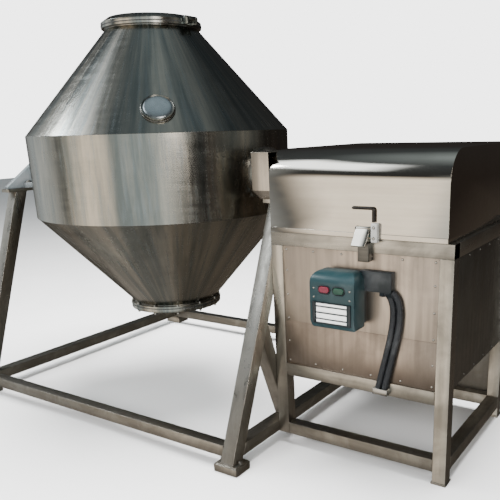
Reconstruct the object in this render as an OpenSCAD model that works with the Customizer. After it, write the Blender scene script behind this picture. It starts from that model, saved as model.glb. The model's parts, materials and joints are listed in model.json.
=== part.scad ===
// Double cone tumbling blender on two leg stands, with its drive in a cabinet at the right.
// Millimetres, +Z up, shaft along X, front towards -Y, origin under the middle of the machine.

/* [Vessel] */
// Diameter of the belt
vessel_d = 950; // [900:10:980]
// Height of the cylindrical belt
belt_h = 280; // [220:4:300]
// Height of each cone
cone_h = 350; // [310:4:370]
// Clear diameter of the charging and discharge mouths
mouth_d = 320; // [280:10:340]
// Wall thickness of the shell
shell_t = 4; // [3:1:6]
// Height of the neck between a cone and its flange face
neck_h = 12; // [10:1:16]
// Thickness of the mouth flanges
flange_t = 8; // [6:1:9]
// Width of the mouth flanges beyond the neck
flange_rim = 12; // [10:1:20]
// Turn of the sight port from the front of the vessel, in degrees
sight_turn = 44; // [30:1:60]
// Height of the sight port's middle above the shaft
sight_up = 212; // [196:2:240]
// Diameter of the sight port
sight_d = 104; // [90:2:130]

/* [Charging lid] */
// Height of the lid's crown above its seat
lid_h = 26; // [20:1:34]
// Thickness of the lid's rim
lid_rim_t = 10; // [8:1:12]
// Length of the sloping edge between rim and crown
lid_slope = 24; // [16:2:32]

/* [Discharge valve] */
// Clear diameter of the butterfly valve
valve_d = 76; // [70:2:110]
// Length of the valve body
valve_h = 36; // [34:2:56]
// Length of the valve lever
lever_l = 130; // [100:5:160]

/* [Shaft and bearings] */
// Height of the shaft above the floor
shaft_h = 900; // [880:5:960]
// Diameter of the trunnion shafts
shaft_d = 60; // [50:5:60]
// Centre height of the pillow blocks
block_h = 70; // [66:1:76]
// Length of the pillow block feet
block_l = 240; // [230:5:260]
// Width of the pillow block feet
block_w = 56; // [50:2:60]

/* [Stands] */
// Distance from the vessel's axis to the left stand
left_x = 730; // [700:10:800]
// Distance from the vessel's axis to the right stand
right_x = 600; // [576:2:640]
// Distance from the shaft forward to the front feet
front_y = 443; // [420:5:480]
// Distance from the shaft back to the rear feet
rear_y = 755; // [700:5:800]
// Distance from the shaft to the right legs' tops
right_top_y = 101; // [90:1:120]
// Distance from the shaft to the left legs' tops
left_top_y = 146; // [120:2:160]
// Width of the leg tube
leg_w = 50; // [44:1:50]
// Wall of the leg tube
leg_t = 3; // [2:1:4]
// Height of the base rails
rail_h = 40; // [30:2:50]
// Height of the base rails above the floor
rail_z = 40; // [36:2:50]
// Thickness of the bearing seats
seat_t = 12; // [10:1:16]
// How far the bearing seats reach past the legs' tops
seat_over = 59; // [45:1:70]
// Length of a foot pad across the machine
foot_x = 92; // [80:2:100]
// Length of a foot pad from front to back
foot_y = 72; // [68:2:80]
// Height of a foot pad
foot_h = 30; // [20:2:32]

/* [Drive cabinet] */
// Length of the cabinet along the shaft
cab_l = 602; // [560:2:640]
// Distance from the shaft forward to the cabinet's front
cab_front = 196; // [190:2:210]
// Distance from the shaft back to the cabinet's back
cab_back = 390; // [370:5:420]
// How far the top of the cabinet's frame lies below the shaft
cab_drop = 165; // [150:5:190]
// Height of the front panel's lower edge
panel_z = 300; // [280:5:320]
// Width of the cabinet's tubes
post_w = 42; // [36:1:44]
// Thickness of the panels
sheet_t = 2; // [1.5:0.5:3]
// How far the panels lie behind the tubes' faces
panel_in = 6; // [4:1:10]

/* [Drive cover] */
// Clearance between the gearbox and the top of the cover
cover_gap = 15; // [10:1:40]
// Radius of the cover's front shoulder
cover_r = 90; // [60:5:110]
// How far the cover stands out past the cabinet's front
cover_out = 9; // [6:1:14]
// How far the cover lies in from the cabinet's right end
cover_side = 16; // [4:2:30]
// Height of the cover's folded lower lip
lip_h = 14; // [10:1:20]

/* [Motor and gearbox] */
// Centre distance of the worm gearbox
worm_drop = 80; // [76:1:90]
// Distance from the cabinet's left side to the gearbox
gear_x = 250; // [240:5:300]
// Radius of the gearbox around its output shaft
gear_r = 68; // [62:1:70]
// Diameter of the gearbox's output shaft
out_d = 50; // [44:1:54]
// Diameter of the driven pulley
big_pulley_d = 160; // [140:5:170]
// Diameter of the motor pulley
small_pulley_d = 80; // [70:5:90]
// Height of the motor's shaft above its feet
motor_h = 100; // [95:1:105]
// Diameter of the motor's finned body
motor_d = 184; // [170:2:186]
// Length of the motor's finned body
motor_l = 200; // [160:10:210]

/* [Starter] */
// Width of the starter
starter_w = 148; // [130:2:160]
// Height of the starter
starter_h = 172; // [150:2:180]
// Depth of the starter's cover in front of its box
starter_d = 66; // [56:2:76]
// How far the starter's middle lies below the top of the cabinet's frame
starter_drop = 177; // [165:1:190]
// Distance from the cabinet's left side to the starter's middle
starter_x = 268; // [250:2:280]
// Outer diameter of the flexible conduits
conduit_d = 20; // [16:1:22]

/* [Latch] */
// Distance from the cabinet's left side to the latch's middle
latch_x = 338; // [320:2:350]
// Width of the latch flap
latch_w = 44; // [36:2:50]

/* [Hidden] */
$fn = 64;
over = 1;
touch_gap = 0.3;
run_gap = 0.03;
slide_gap = 0.5;

belt_r = vessel_d / 2;
mouth_r = mouth_d / 2;
neck_z = belt_h / 2 + cone_h;
face_z = neck_z + neck_h;
flange_r = mouth_r + shell_t + flange_rim;
cone_slope = atan((belt_r - mouth_r - shell_t) / cone_h);

seat_z = shaft_h - block_h;
leg_top_z = seat_z - seat_t;
rail_top = rail_z + rail_h;
rail_mid = rail_z + rail_h / 2;

cab_h = shaft_h - cab_drop;
cover_top = shaft_h + gear_r + cover_gap;
starter_z = cab_h - starter_drop;
cab_x0 = right_x + leg_w / 2;
cab_x1 = cab_x0 + cab_l;
cab_y0 = -cab_front;
cab_y1 = cab_back;
cover_x0 = cab_x0 + panel_in + sheet_t + slide_gap;
cover_x1 = cab_x1 - cover_side;
cover_y0 = cab_y0 - cover_out;
cover_y1 = cab_y1 + cover_out;
cover_z0 = cab_h + sheet_t;
cover_wall = 2;
foot_cap = 6;

x_min = -left_x - foot_x / 2;
x_max = cab_x1 + foot_cap / 2;
y_min = leg_y(-front_y, left_top_y, foot_h) - foot_y / 2;
y_max = leg_y(rear_y, left_top_y, foot_h) + foot_y / 2;
mid_x = (x_min + x_max) / 2;
mid_y = (y_min + y_max) / 2;

steel = [0.66, 0.64, 0.60];
steel_dark = [0.36, 0.37, 0.36];
steel_warm = [0.70, 0.62, 0.55];
cast_grey = [0.42, 0.44, 0.45];
paint_blue = [0.16, 0.27, 0.36];
plastic_green = [0.10, 0.20, 0.21];
rubber = [0.08, 0.08, 0.08];

// Everything is drawn round the vessel's axis and then moved so that the origin is mid-floor
module place() {
    translate([-mid_x, -mid_y, 0]) children();
}

// Square tube between two corners, hollow along the named axis
module tube(low, high, axis, wall) {
    size = high - low;
    inset = [for (i = [0:2]) i == axis ? -over : wall];
    difference() {
        translate(low) cube(size);
        translate(low + inset) cube(size - 2 * inset);
    }
}

// Upright slab: an outline in the Y-Z plane, given thickness along X
module slab(x0, x1) {
    translate([x0, 0, 0]) rotate([90, 0, 90]) linear_extrude(x1 - x0) children();
}

// Round bar along X, from x0 to x1, on the shaft's axis
module bar_x(x0, x1, r) {
    translate([x0, 0, shaft_h]) rotate([0, 90, 0]) cylinder(h = x1 - x0, r = r);
}

// Stands

function leg_slope(foot, top) = (abs(foot) - top) / leg_top_z;
function leg_y(foot, top, z) = sign(foot) * (abs(foot) - leg_slope(foot, top) * z);
function leg_run(foot, top) = leg_w / 2 * sqrt(1 + pow(leg_slope(foot, top), 2));
function leg_inside(foot, top, z) = leg_y(foot, top, z) - sign(foot) * leg_run(foot, top);

module leg_outline(foot, top, grow) {
    run = leg_run(foot, top) + grow;
    z0 = foot_h - grow;
    z1 = leg_top_z + grow;
    y0 = leg_y(foot, top, z0);
    y1 = leg_y(foot, top, z1);
    polygon([[y0 - run, z0], [y0 + run, z0], [y1 + run, z1], [y1 - run, z1]]);
}

module leg(x, foot, top) {
    foot_edge = 4;
    difference() {
        slab(x - leg_w / 2, x + leg_w / 2) leg_outline(foot, top, 0);
        slab(x - leg_w / 2 + leg_t, x + leg_w / 2 - leg_t) leg_outline(foot, top, -leg_t);
    }
    translate([x, leg_y(foot, top, foot_h), 0]) {
        linear_extrude(foot_h - foot_edge) square([foot_x, foot_y], center = true);
        translate([0, 0, foot_h - foot_edge]) linear_extrude(foot_edge)
            square([foot_x - 2 * foot_edge, foot_y - 2 * foot_edge], center = true);
    }
}

module left_front_leg() { color(steel) leg(-left_x, -front_y, left_top_y); }
module left_rear_leg() { color(steel) leg(-left_x, rear_y, left_top_y); }
module right_front_leg() { color(steel) leg(right_x, -front_y, right_top_y); }
module right_rear_leg() { color(steel) leg(right_x, rear_y, right_top_y); }

module base_cross_rail(foot) {
    y = leg_y(foot, right_top_y, rail_mid);
    tube(
        [-left_x + leg_w / 2, y - rail_h / 2, rail_z],
        [right_x - leg_w / 2, y + rail_h / 2, rail_top], 0, leg_t
    );
}
module base_cross_rails() {
    color(steel_dark) {
        base_cross_rail(-front_y);
        base_cross_rail(rear_y);
    }
}

// The rail between a stand's feet is cut at both ends to the slope of the legs
module base_side_rail(x, top) {
    bore_w = leg_w / 2 - leg_t;
    difference() {
        slab(x - leg_w / 2, x + leg_w / 2) polygon([
            [leg_inside(-front_y, top, rail_z), rail_z], [leg_inside(rear_y, top, rail_z), rail_z],
            [leg_inside(rear_y, top, rail_top), rail_top],
            [leg_inside(-front_y, top, rail_top), rail_top]
        ]);
        translate([x - bore_w, -front_y, rail_z + leg_t])
            cube([2 * bore_w, front_y + rear_y, rail_h - 2 * leg_t]);
    }
}
module base_side_rails() {
    color(steel_dark) {
        base_side_rail(-left_x, left_top_y);
        base_side_rail(right_x, right_top_y);
    }
}

// Short brace from the right front leg down to the side rail
brace_w = 34;
brace_foot_share = 0.33;
brace_top_share = 0.5;
module knee_brace() {
    z1 = leg_top_z * brace_top_share;
    y0 = cab_y0 * (1 - brace_foot_share) - brace_w / 2;
    color(steel) slab(right_x - brace_w / 2, right_x + brace_w / 2) polygon([
        [y0, rail_top], [y0 + brace_w, rail_top],
        [leg_inside(-front_y, right_top_y, z1 + brace_w), z1 + brace_w],
        [leg_inside(-front_y, right_top_y, z1 - brace_w), z1 - brace_w]
    ]);
}

module seat_plate(x, top) {
    seat_y = top + seat_over;
    hole = block_l / 2 - block_bolt_in;
    difference() {
        translate([x - leg_w / 2, -seat_y, leg_top_z]) cube([leg_w, 2 * seat_y, seat_t]);
        for (y = [-hole, hole])
            translate([x, y, leg_top_z - over]) cylinder(h = seat_t + 2 * over, d = block_bolt_d);
    }
}
module bearing_seats() {
    color(steel) {
        seat_plate(-left_x, left_top_y);
        seat_plate(right_x, right_top_y);
    }
}

// Bearings

block_bolt_in = 28;
block_bolt_d = 16;
block_foot_h = 20;
block_r = 60;
block_neck_r = 42;
block_hub_r = 44;
block_rib_w = 14;
module pillow_block(x) {
    ring_w = block_w - block_rib_w;
    shoulder = block_l / 2 - 2 * block_bolt_in;
    translate([x, 0, seat_z]) difference() {
        union() {
            translate([-block_w / 2, -block_l / 2, 0]) cube([block_w, block_l, block_foot_h]);
            slab(-ring_w / 2, ring_w / 2)
                polygon([
                    [-shoulder, 0], [shoulder, 0], [shoulder, block_foot_h + block_rib_w],
                    [block_neck_r, block_h], [-block_neck_r, block_h],
                    [-shoulder, block_foot_h + block_rib_w]
                ]);
            translate([-ring_w / 2, 0, block_h]) rotate([0, 90, 0]) cylinder(h = ring_w, r = block_r);
            translate([-block_w / 2, 0, block_h]) rotate([0, 90, 0])
                cylinder(h = block_w, r = block_hub_r);
        }
        translate([-block_w / 2 - over, 0, block_h]) rotate([0, 90, 0])
            cylinder(h = block_w + 2 * over, r = shaft_d / 2 + run_gap);
        for (y = [-1, 1]) translate([0, y * (block_l / 2 - block_bolt_in), -over])
            cylinder(h = block_foot_h + 2 * over, r = block_bolt_d / 2 + slide_gap);
    }
}
module left_bearing() { color(cast_grey) pillow_block(-left_x); }
module right_bearing() { color(cast_grey) pillow_block(right_x); }

bolt_head_share = 0.62;
module hex_bolt(d, shank) {
    translate([0, 0, -shank]) cylinder(h = shank, d = d);
    cylinder(h = d * (1 - bolt_head_share) / 2, d = 2 * d);
    cylinder(h = d * bolt_head_share, d = 2 * d * cos(30), $fn = 6);
}
module bearing_bolts() {
    color(steel) for (x = [-left_x, right_x], y = [-1, 1])
        translate([x, y * (block_l / 2 - block_bolt_in), seat_z + block_foot_h])
            hex_bolt(block_bolt_d, block_foot_h + seat_t);
}

// Folded guard over the right bearing, open towards the cabinet and below
guard_up = 76;
guard_top = shaft_h + guard_up;
guard_seat_y = right_top_y + seat_over;
guard_y = 200;
guard_cut = 30;
guard_t = 2;
guard_left = 34;
shaft_clear = 8;
guard_hole_r = shaft_d / 2 + shaft_clear;
guard_sill = 10;
module guard_outline(grow) {
    z0 = seat_z - grow;
    polygon([
        [-guard_seat_y - grow, z0], [guard_seat_y + grow, z0],
        [guard_y + grow, z0 + guard_cut], [guard_y + grow, guard_top + grow],
        [-guard_y - grow, guard_top + grow], [-guard_y - grow, z0 + guard_cut]
    ]);
}
module bearing_guard() {
    x0 = right_x - guard_left;
    x1 = cab_x0 + panel_in;
    open_y = guard_seat_y - guard_sill;
    color(steel_warm) difference() {
        slab(x0, x1) guard_outline(0);
        slab(x0 + guard_t, x1 + over) guard_outline(-guard_t);
        slab(x0 - over, x1 + over) translate([-open_y, seat_z - over])
            square([2 * open_y, guard_t + over]);
        bar_x(x0 - over, x0 + guard_t + over, guard_hole_r);
        slab(x0 - over, x0 + guard_t + over)
            translate([-guard_hole_r, seat_z - over]) square([2 * guard_hole_r, block_h + over]);
    }
}

// Drive cabinet frame

module post(x, y, z) {
    tube([x, y, z], [x + post_w, y + post_w, cab_h - post_w], 2, sheet_t);
}
module post_foot(x, y) {
    translate([x + post_w / 2, y + post_w / 2, 0]) linear_extrude(foot_cap)
        square([post_w + foot_cap, post_w + foot_cap], center = true);
}
// The left posts end beside the stand's rail and the right ones on feet
module post_pair(y) {
    color(steel) {
        post(cab_x0, y, rail_z);
        post(cab_x1 - post_w, y, foot_cap);
        post_foot(cab_x1 - post_w, y);
    }
}
module front_posts() { post_pair(cab_y0); }
module back_posts() { post_pair(cab_y1 - post_w); }

module low_cross_rails() {
    color(steel_dark) for (y = [cab_y0, cab_y1 - post_w]) tube(
        [cab_x0 + post_w, y, rail_z], [cab_x1 - post_w, y + post_w, rail_top], 0, sheet_t
    );
}
module low_side_rail() {
    color(steel_dark) tube(
        [cab_x1 - post_w, cab_y0 + post_w, rail_z], [cab_x1, cab_y1 - post_w, rail_top], 1, sheet_t
    );
}
module panel_rail() {
    color(steel) tube(
        [cab_x0 + post_w, cab_y0, panel_z - post_w],
        [cab_x1 - post_w, cab_y0 + post_w, panel_z], 0, sheet_t
    );
}
module top_cross_rails() {
    color(steel) for (y = [cab_y0, cab_y1 - post_w]) tube(
        [cab_x0, y, cab_h - post_w], [cab_x1, y + post_w, cab_h], 0, sheet_t
    );
}
module top_side_rails() {
    color(steel) for (x = [cab_x0, cab_x1 - post_w]) tube(
        [x, cab_y0 + post_w, cab_h - post_w], [x + post_w, cab_y1 - post_w, cab_h], 1, sheet_t
    );
}

// Panels: sheets set in behind the faces of the tubes

module front_panel() {
    color(steel_warm) translate([cab_x0 + post_w, cab_y0 + panel_in, panel_z])
        cube([cab_l - 2 * post_w, sheet_t, cab_h - post_w - panel_z]);
}
module side_panels() {
    color(steel_dark) for (x = [cab_x0 + panel_in, cab_x1 - panel_in - sheet_t])
        translate([x, cab_y0 + post_w, panel_z])
            cube([sheet_t, cab_y1 - cab_y0 - 2 * post_w, cab_h - post_w - panel_z]);
}
module back_panel() {
    color(steel_dark) translate([cab_x0 + post_w, cab_y1 - panel_in - sheet_t, rail_top])
        cube([cab_l - 2 * post_w, sheet_t, cab_h - post_w - rail_top]);
}

shelf_t = 6;
shelf_z = panel_z;
module drive_shelf() {
    y0 = cab_y0 + panel_in + sheet_t;
    y1 = cab_y1 - panel_in - sheet_t;
    color(steel) difference() {
        translate([cab_x0 + panel_in + sheet_t, y0, shelf_z])
            cube([cab_l - 2 * panel_in - 2 * sheet_t, y1 - y0, shelf_t]);
        for (x = [cab_x0 - over, cab_x1 - post_w], y = [cab_y0 - over, cab_y1 - post_w])
            translate([x, y, shelf_z - over]) cube([post_w + over, post_w + over, shelf_t + 2 * over]);
    }
}

// Hinge line of the drive cover, at the back of the cabinet
pin_r = 5;
knuckle_r = 9;
hinge_y = cover_y1 + knuckle_r + touch_gap;
hinge_z = cab_h - knuckle_r;
knuckle_l = 26;
hinge_in = 90;

// Closes the cover's left end and stays on the cabinet when the cover opens
module cover_end_plate() {
    x0 = cab_x0 + panel_in;
    color(steel) difference() {
        intersection() {
            slab(x0, x0 + sheet_t) cover_outline(cover_wall);
            translate([x0 - over, cab_y0, cab_h])
                cube([sheet_t + 2 * over, cab_y1 - cab_y0, cover_top - cab_h]);
        }
        bar_x(x0 - over, x0 + sheet_t + over, guard_hole_r);
    }
}

// Drive train, drawn with its pulleys towards the back and mirrored to the front
module to_front() {
    mirror([0, 1, 0]) children();
}

gear_cx = cab_x0 + gear_x;
worm_z = shaft_h - worm_drop;
gear_foot_z = cab_h;
gear_w = 116;
gear_len = 150;
worm_r = 15;
worm_boss_r = 34;
boss_share = 0.66;
rib_share = 0.7;
rib_t = 8;
foot_t = 14;
module gearbox() {
    boss_l = gear_w + 2 * rib_t;
    color(paint_blue) difference() {
        union() {
            bar_x(gear_cx - gear_w / 2, gear_cx + gear_w / 2, gear_r);
            bar_x(gear_cx - boss_l / 2, gear_cx + boss_l / 2, gear_r * boss_share);
            translate([gear_cx - gear_w / 2, -gear_r, worm_z - worm_boss_r])
                cube([gear_w, 2 * gear_r, worm_drop + worm_boss_r]);
            translate([gear_cx, -gear_len / 2, worm_z]) rotate([-90, 0, 0])
                cylinder(h = gear_len, r = worm_boss_r + rib_t);
            translate([gear_cx - gear_w / 2 - rib_t, -gear_len / 2, gear_foot_z])
                cube([gear_w + 2 * rib_t, gear_len, foot_t]);
            for (y = [-1, 0, 1]) translate([gear_cx - boss_l / 2, y * gear_r * rib_share - rib_t / 2, gear_foot_z])
                cube([boss_l, rib_t, worm_drop]);
        }
        bar_x(gear_cx - boss_l, gear_cx + boss_l, out_d / 2 + run_gap);
        translate([gear_cx, -gear_len, worm_z]) rotate([-90, 0, 0])
            cylinder(h = 2 * gear_len, r = worm_r + run_gap);
    }
}

beam_w = 40;
beam_y = 55;
module gearbox_beams() {
    color(steel) for (y = [-beam_y - beam_w / 2, beam_y - beam_w / 2])
        tube(
            [cab_x0 + post_w, y, cab_h - beam_w], [cab_x1 - post_w, y + beam_w, cab_h], 0, sheet_t
        );
}

pulley_w = 34;
pulley_stand = 42;
pulley_y = gear_len / 2 + pulley_stand;
groove_d = 12;
groove_w = 17;
belt_t = 11;
hub_r = 26;
web_share = 0.3;
// One-groove V pulley, its axis along Y
module pulley(r, bore_r) {
    rim = groove_d + rib_t;
    rotate([-90, 0, 0]) rotate_extrude($fn = 96) polygon([
        [bore_r, -pulley_w / 2], [hub_r, -pulley_w / 2],
        [hub_r, -pulley_w * web_share / 2],
        [max(r - rim, hub_r + over), -pulley_w * web_share / 2],
        [max(r - rim, hub_r + over), -pulley_w / 2], [r, -pulley_w / 2],
        [r, -groove_w / 2], [r - groove_d, -groove_w / 4],
        [r - groove_d, groove_w / 4], [r, groove_w / 2],
        [r, pulley_w / 2], [max(r - rim, hub_r + over), pulley_w / 2],
        [max(r - rim, hub_r + over), pulley_w * web_share / 2],
        [hub_r, pulley_w * web_share / 2], [hub_r, pulley_w / 2], [bore_r, pulley_w / 2]
    ]);
}

module worm_shaft() {
    end_y = pulley_y + pulley_w / 2 + rib_t;
    color(steel) {
        translate([gear_cx, -gear_len / 2 - 2 * rib_t, worm_z]) rotate([-90, 0, 0])
            cylinder(h = end_y + gear_len / 2 + 2 * rib_t, r = worm_r);
        translate([gear_cx, pulley_y, worm_z]) pulley(big_pulley_d / 2, worm_r - over);
    }
}

motor_x = gear_cx;
motor_z = shelf_z + shelf_t + motor_h;
motor_nose = 40;
motor_y1 = pulley_y - pulley_w / 2 - motor_nose;
motor_y0 = motor_y1 - motor_l;
motor_shaft_r = 14;
motor_fins = 32;
fin_h = 9;
shield_t = 20;
// Outline of the motor's casing: a ring of fins round the stator
module fin_outline() {
    polygon([for (i = [0:motor_fins - 1], k = [0:3])
        let (a = 360 / motor_fins * (i + k / 4), r = motor_d / 2 - (k < 2 ? 0 : fin_h))
        [r * cos(a), r * sin(a)]]);
}
box_w = 70;
box_h = 60;
module motor() {
    foot_in = 30;
    color(paint_blue) difference() {
        union() {
            translate([motor_x, motor_y1, motor_z]) rotate([90, 0, 0])
                linear_extrude(motor_l) fin_outline();
            for (y = [motor_y0 - shield_t, motor_y1]) translate([motor_x, y, motor_z])
                rotate([-90, 0, 0]) cylinder(h = shield_t, r = motor_d / 2 - fin_h / 2);
            for (y = [motor_y0 + foot_in, motor_y1 - 2 * foot_in])
                translate([motor_x - motor_d / 2, y, shelf_z + shelf_t])
                    cube([motor_d, foot_in, motor_h / 2]);
            translate([motor_x + motor_d / 2 - fin_h - over, (motor_y0 + motor_y1 - box_w) / 2, motor_z])
                cube([box_h, box_w, box_w]);
        }
        translate([motor_x, motor_y0 - 2 * shield_t, motor_z]) rotate([-90, 0, 0])
            cylinder(h = motor_l + 4 * shield_t, r = motor_shaft_r + run_gap);
        translate([motor_x - motor_d / 4, motor_y0, shelf_z + shelf_t - over])
            cube([motor_d / 2, motor_l, motor_h - motor_d / 2 + fin_h + over]);
    }
}

cowl_l = 62;
cowl_t = 2;
cowl_slots = 6;
slot_w = 7;
fan_r = motor_d / 2 - 2 * fin_h;
module motor_cowl() {
    y0 = motor_y0 - shield_t - cowl_l;
    r = motor_d / 2;
    color(paint_blue) translate([motor_x, y0, motor_z]) rotate([-90, 0, 0]) difference() {
        cylinder(h = cowl_l + shield_t, r = r + cowl_t);
        translate([0, 0, -over]) cylinder(h = cowl_l + 2 * over, r = r - cowl_t);
        translate([0, 0, cowl_l - over]) cylinder(h = shield_t + 2 * over, r = r - fin_h / 2);
    }
}
// Slotted end of the cowl, set in flush with its rim
module cowl_grille() {
    y0 = motor_y0 - shield_t - cowl_l;
    r = motor_d / 2;
    color(paint_blue) translate([motor_x, y0, motor_z]) rotate([-90, 0, 0]) difference() {
        cylinder(h = cowl_t, r = r - cowl_t);
        for (i = [1:cowl_slots]) translate([0, 0, -over]) difference() {
            cylinder(h = cowl_t + 2 * over, r = (r - slot_w) * i / cowl_slots);
            cylinder(h = cowl_t + 2 * over, r = (r - slot_w) * i / cowl_slots - slot_w);
            translate([-r, -slot_w / 2, 0]) cube([2 * r, slot_w, cowl_t + 2 * over]);
            translate([-slot_w / 2, -r, 0]) cube([slot_w, 2 * r, cowl_t + 2 * over]);
        }
    }
}

fan_blades = 8;
module motor_rotor() {
    y0 = motor_y0 - shield_t - cowl_l / 2;
    color(steel) {
        translate([motor_x, y0, motor_z]) rotate([-90, 0, 0])
            cylinder(h = pulley_y + pulley_w / 2 + rib_t - y0, r = motor_shaft_r);
        translate([motor_x, pulley_y, motor_z]) pulley(small_pulley_d / 2, motor_shaft_r - over);
        translate([motor_x, y0, motor_z]) rotate([-90, 0, 0]) {
            cylinder(h = rib_t, r = hub_r);
            for (i = [0:fan_blades - 1]) rotate([0, 0, i * 360 / fan_blades])
                translate([hub_r / 2, -over, 0]) cube([fan_r - hub_r / 2, 2 * over, cowl_l / 3]);
        }
    }
}

// Belt: the band between two round-ended outlines, one inside the other
module belt_outline(grow) {
    hull() {
        translate([0, worm_z]) circle(r = big_pulley_d / 2 - groove_d + touch_gap + grow, $fn = 48);
        translate([0, motor_z]) circle(r = small_pulley_d / 2 - groove_d + touch_gap + grow, $fn = 48);
    }
}
module v_belt() {
    color(rubber) translate([gear_cx, pulley_y + groove_w / 4 - touch_gap, 0]) rotate([90, 0, 0])
        linear_extrude(groove_w / 2 - 2 * touch_gap) difference() {
            belt_outline(belt_t);
            belt_outline(0);
        }
}

// Starter on the front panel

panel_face = cab_y0 + panel_in;
starter_cx = cab_x0 + starter_x;
back_box_d = 26;
back_box_w = 98;
back_box_h = 60;
starter_edge = 14;
module starter_outline(inset) {
    w = starter_w / 2 - inset;
    h = starter_h / 2 - inset;
    top_r = 2 * starter_edge;
    low_r = starter_edge / 2;
    translate([-w, -h + low_r]) square([2 * w, 2 * h - low_r - top_r]);
    translate([-w + low_r, -h]) square([2 * (w - low_r), low_r + over]);
    translate([-w + top_r, h - top_r - over]) square([2 * (w - top_r), top_r + over]);
    for (sx = [-1, 1]) {
        translate([sx * (w - low_r), -h + low_r]) circle(r = low_r);
        translate([sx * (w - top_r), h - top_r]) circle(r = top_r);
    }
}
module on_panel(depth) {
    translate([starter_cx, panel_face - depth, starter_z]) rotate([90, 0, 0]) children();
}
module starter_box() {
    color(plastic_green) {
        on_panel(0) linear_extrude(back_box_d) starter_outline(starter_edge / 2);
        translate([
            starter_cx + starter_w / 2 - starter_edge, panel_face - back_box_d,
            starter_z + starter_h / 2 - back_box_h
        ]) cube([back_box_w, back_box_d, back_box_h]);
    }
}

button_z = 34;
button_x = 24;
button_w = 17;
button_h = 9;
button_out = 5;
press = 4;
module button_outline(grow) {
    reach = button_w - button_h;
    translate([-reach, -button_h - grow]) square([2 * reach, 2 * (button_h + grow)]);
    for (sx = [-1, 1]) translate([sx * reach, 0]) circle(r = button_h + grow);
}
dome_r = 40;
chin = 22;
// Side view of the starter's cover: a rounded shoulder above and a chin cut back below
module starter_side() {
    h = starter_h / 2;
    difference() {
        union() {
            translate([0, -h]) square([starter_d - dome_r, 2 * h]);
            translate([0, -h]) square([starter_d, 2 * h - dome_r]);
            translate([starter_d - dome_r, h - dome_r]) circle(r = dome_r);
        }
        translate([starter_d, -h]) polygon([[over, -over], [over, chin], [0, chin], [-chin / 2, -over]]);
    }
}
module starter_cover() {
    color(plastic_green) on_panel(back_box_d) difference() {
        intersection() {
            linear_extrude(starter_d) starter_outline(0);
            translate([-starter_w, 0, 0]) rotate([90, 0, 90])
                linear_extrude(2 * starter_w) mirror([1, -1]) starter_side();
        }
        for (sx = [-1, 1]) translate([sx * button_x, button_z, starter_d - 3 * button_out])
            linear_extrude(3 * button_out + over) button_outline(slide_gap);
    }
}
module button(sx) {
    on_panel(back_box_d + starter_d - 3 * button_out + press + slide_gap)
        translate([sx * button_x, button_z, 0])
            linear_extrude(4 * button_out - press - slide_gap) button_outline(0);
}
module stop_button() { color([0.45, 0.09, 0.12]) button(-1); }
module start_button() { color([0.10, 0.30, 0.18]) button(1); }

// Two flexible conduits, held from the starter's side box down to the clip on the panel's rail
conduit_gap = 1;
conduit_x = starter_cx + starter_w / 2 - starter_edge + back_box_w - conduit_d - conduit_gap;
conduit_top = starter_z + starter_h / 2 - back_box_h;
conduit_end = panel_z - post_w / 3;
bulge_share = 1.8;
shift_share = 0.5;
ring_sides = 12;
conduit_rings = 22;
function sway(t) = conduit_d * (bulge_share * sin(180 * sqrt(t)) - shift_share * t);
step_share = 0.8;
function step_out(t) = panel_in * (1 - cos(180 * min(1, t / step_share))) / 2;
module conduit(dx) {
    r = conduit_d / 2;
    n = ring_sides;
    points = [for (i = [0:conduit_rings], k = [0:n - 1])
        let (t = i / conduit_rings, a = 360 / n * k)
        [conduit_x + dx + sway(t) + r * cos(a),
            panel_face - r - conduit_gap - step_out(t) + r * sin(a),
            conduit_top + (conduit_end - conduit_top) * t]];
    sides = [for (i = [0:conduit_rings - 1], k = [0:n - 1], half = [0, 1])
        let (a = i * n + k, b = i * n + (k + 1) % n)
        half == 0 ? [a, b, b + n] : [a, b + n, a + n]];
    polyhedron(points, concat(
        [[for (k = [n - 1:-1:0]) k]], sides, [[for (k = [0:n - 1]) conduit_rings * n + k]]
    ), convexity = 4);
}
module conduits() {
    color(rubber) for (side = [-1, 1]) conduit(side * (conduit_d + conduit_gap) / 2);
}

// Clip that holds both conduits' ends on the rail
clip_wall = 4;
module conduit_clip() {
    w = 2 * conduit_d + conduit_gap + 2 * clip_wall;
    h = conduit_d;
    d = conduit_d + conduit_gap + clip_wall;
    color(steel) translate([conduit_x + sway(1) - w / 2, cab_y0 - d, conduit_end - h]) cube([w, d, h]);
}

// Cover, its hinges and its latch

module cover_outline(inset) {
    y0 = cover_y0 + inset;
    y1 = cover_y1 - inset;
    z1 = cover_top - inset;
    z0 = cover_z0 - (inset > 0 ? over : 0);
    r = cover_r - inset;
    union() {
        translate([y0 + r, z0]) square([y1 - y0 - r, z1 - z0]);
        translate([y0, z0]) square([r + over, z1 - r - z0]);
        translate([y0 + r, z1 - r]) circle(r = r, $fn = 96);
    }
}
module cover_knuckle(x) {
    translate([x, hinge_y, hinge_z]) rotate([0, 90, 0]) cylinder(h = knuckle_l, r = knuckle_r);
    translate([x, cover_y1 - over, hinge_z]) cube([knuckle_l, knuckle_r + over, 3 * knuckle_r]);
}
lip_t = 2;
module drive_cover() {
    color(steel_warm) difference() {
        union() {
            difference() {
                union() {
                    slab(cover_x0, cover_x1) cover_outline(0);
                    translate([cover_x0, cover_y0 - lip_t, cover_z0])
                        cube([cover_x1 - cover_x0, 2 * lip_t, lip_h]);
                }
                slab(cover_x0 - over, cover_x1 - cover_wall) cover_outline(cover_wall);
            }
            for (x = [cover_x0 + hinge_in, cover_x1 - hinge_in - knuckle_l]) cover_knuckle(x);
        }
        for (x = [cover_x0 + hinge_in, cover_x1 - hinge_in - knuckle_l])
            translate([x - over, hinge_y, hinge_z]) rotate([0, 90, 0])
                cylinder(h = knuckle_l + 2 * over, r = pin_r + run_gap);
    }
}

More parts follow.
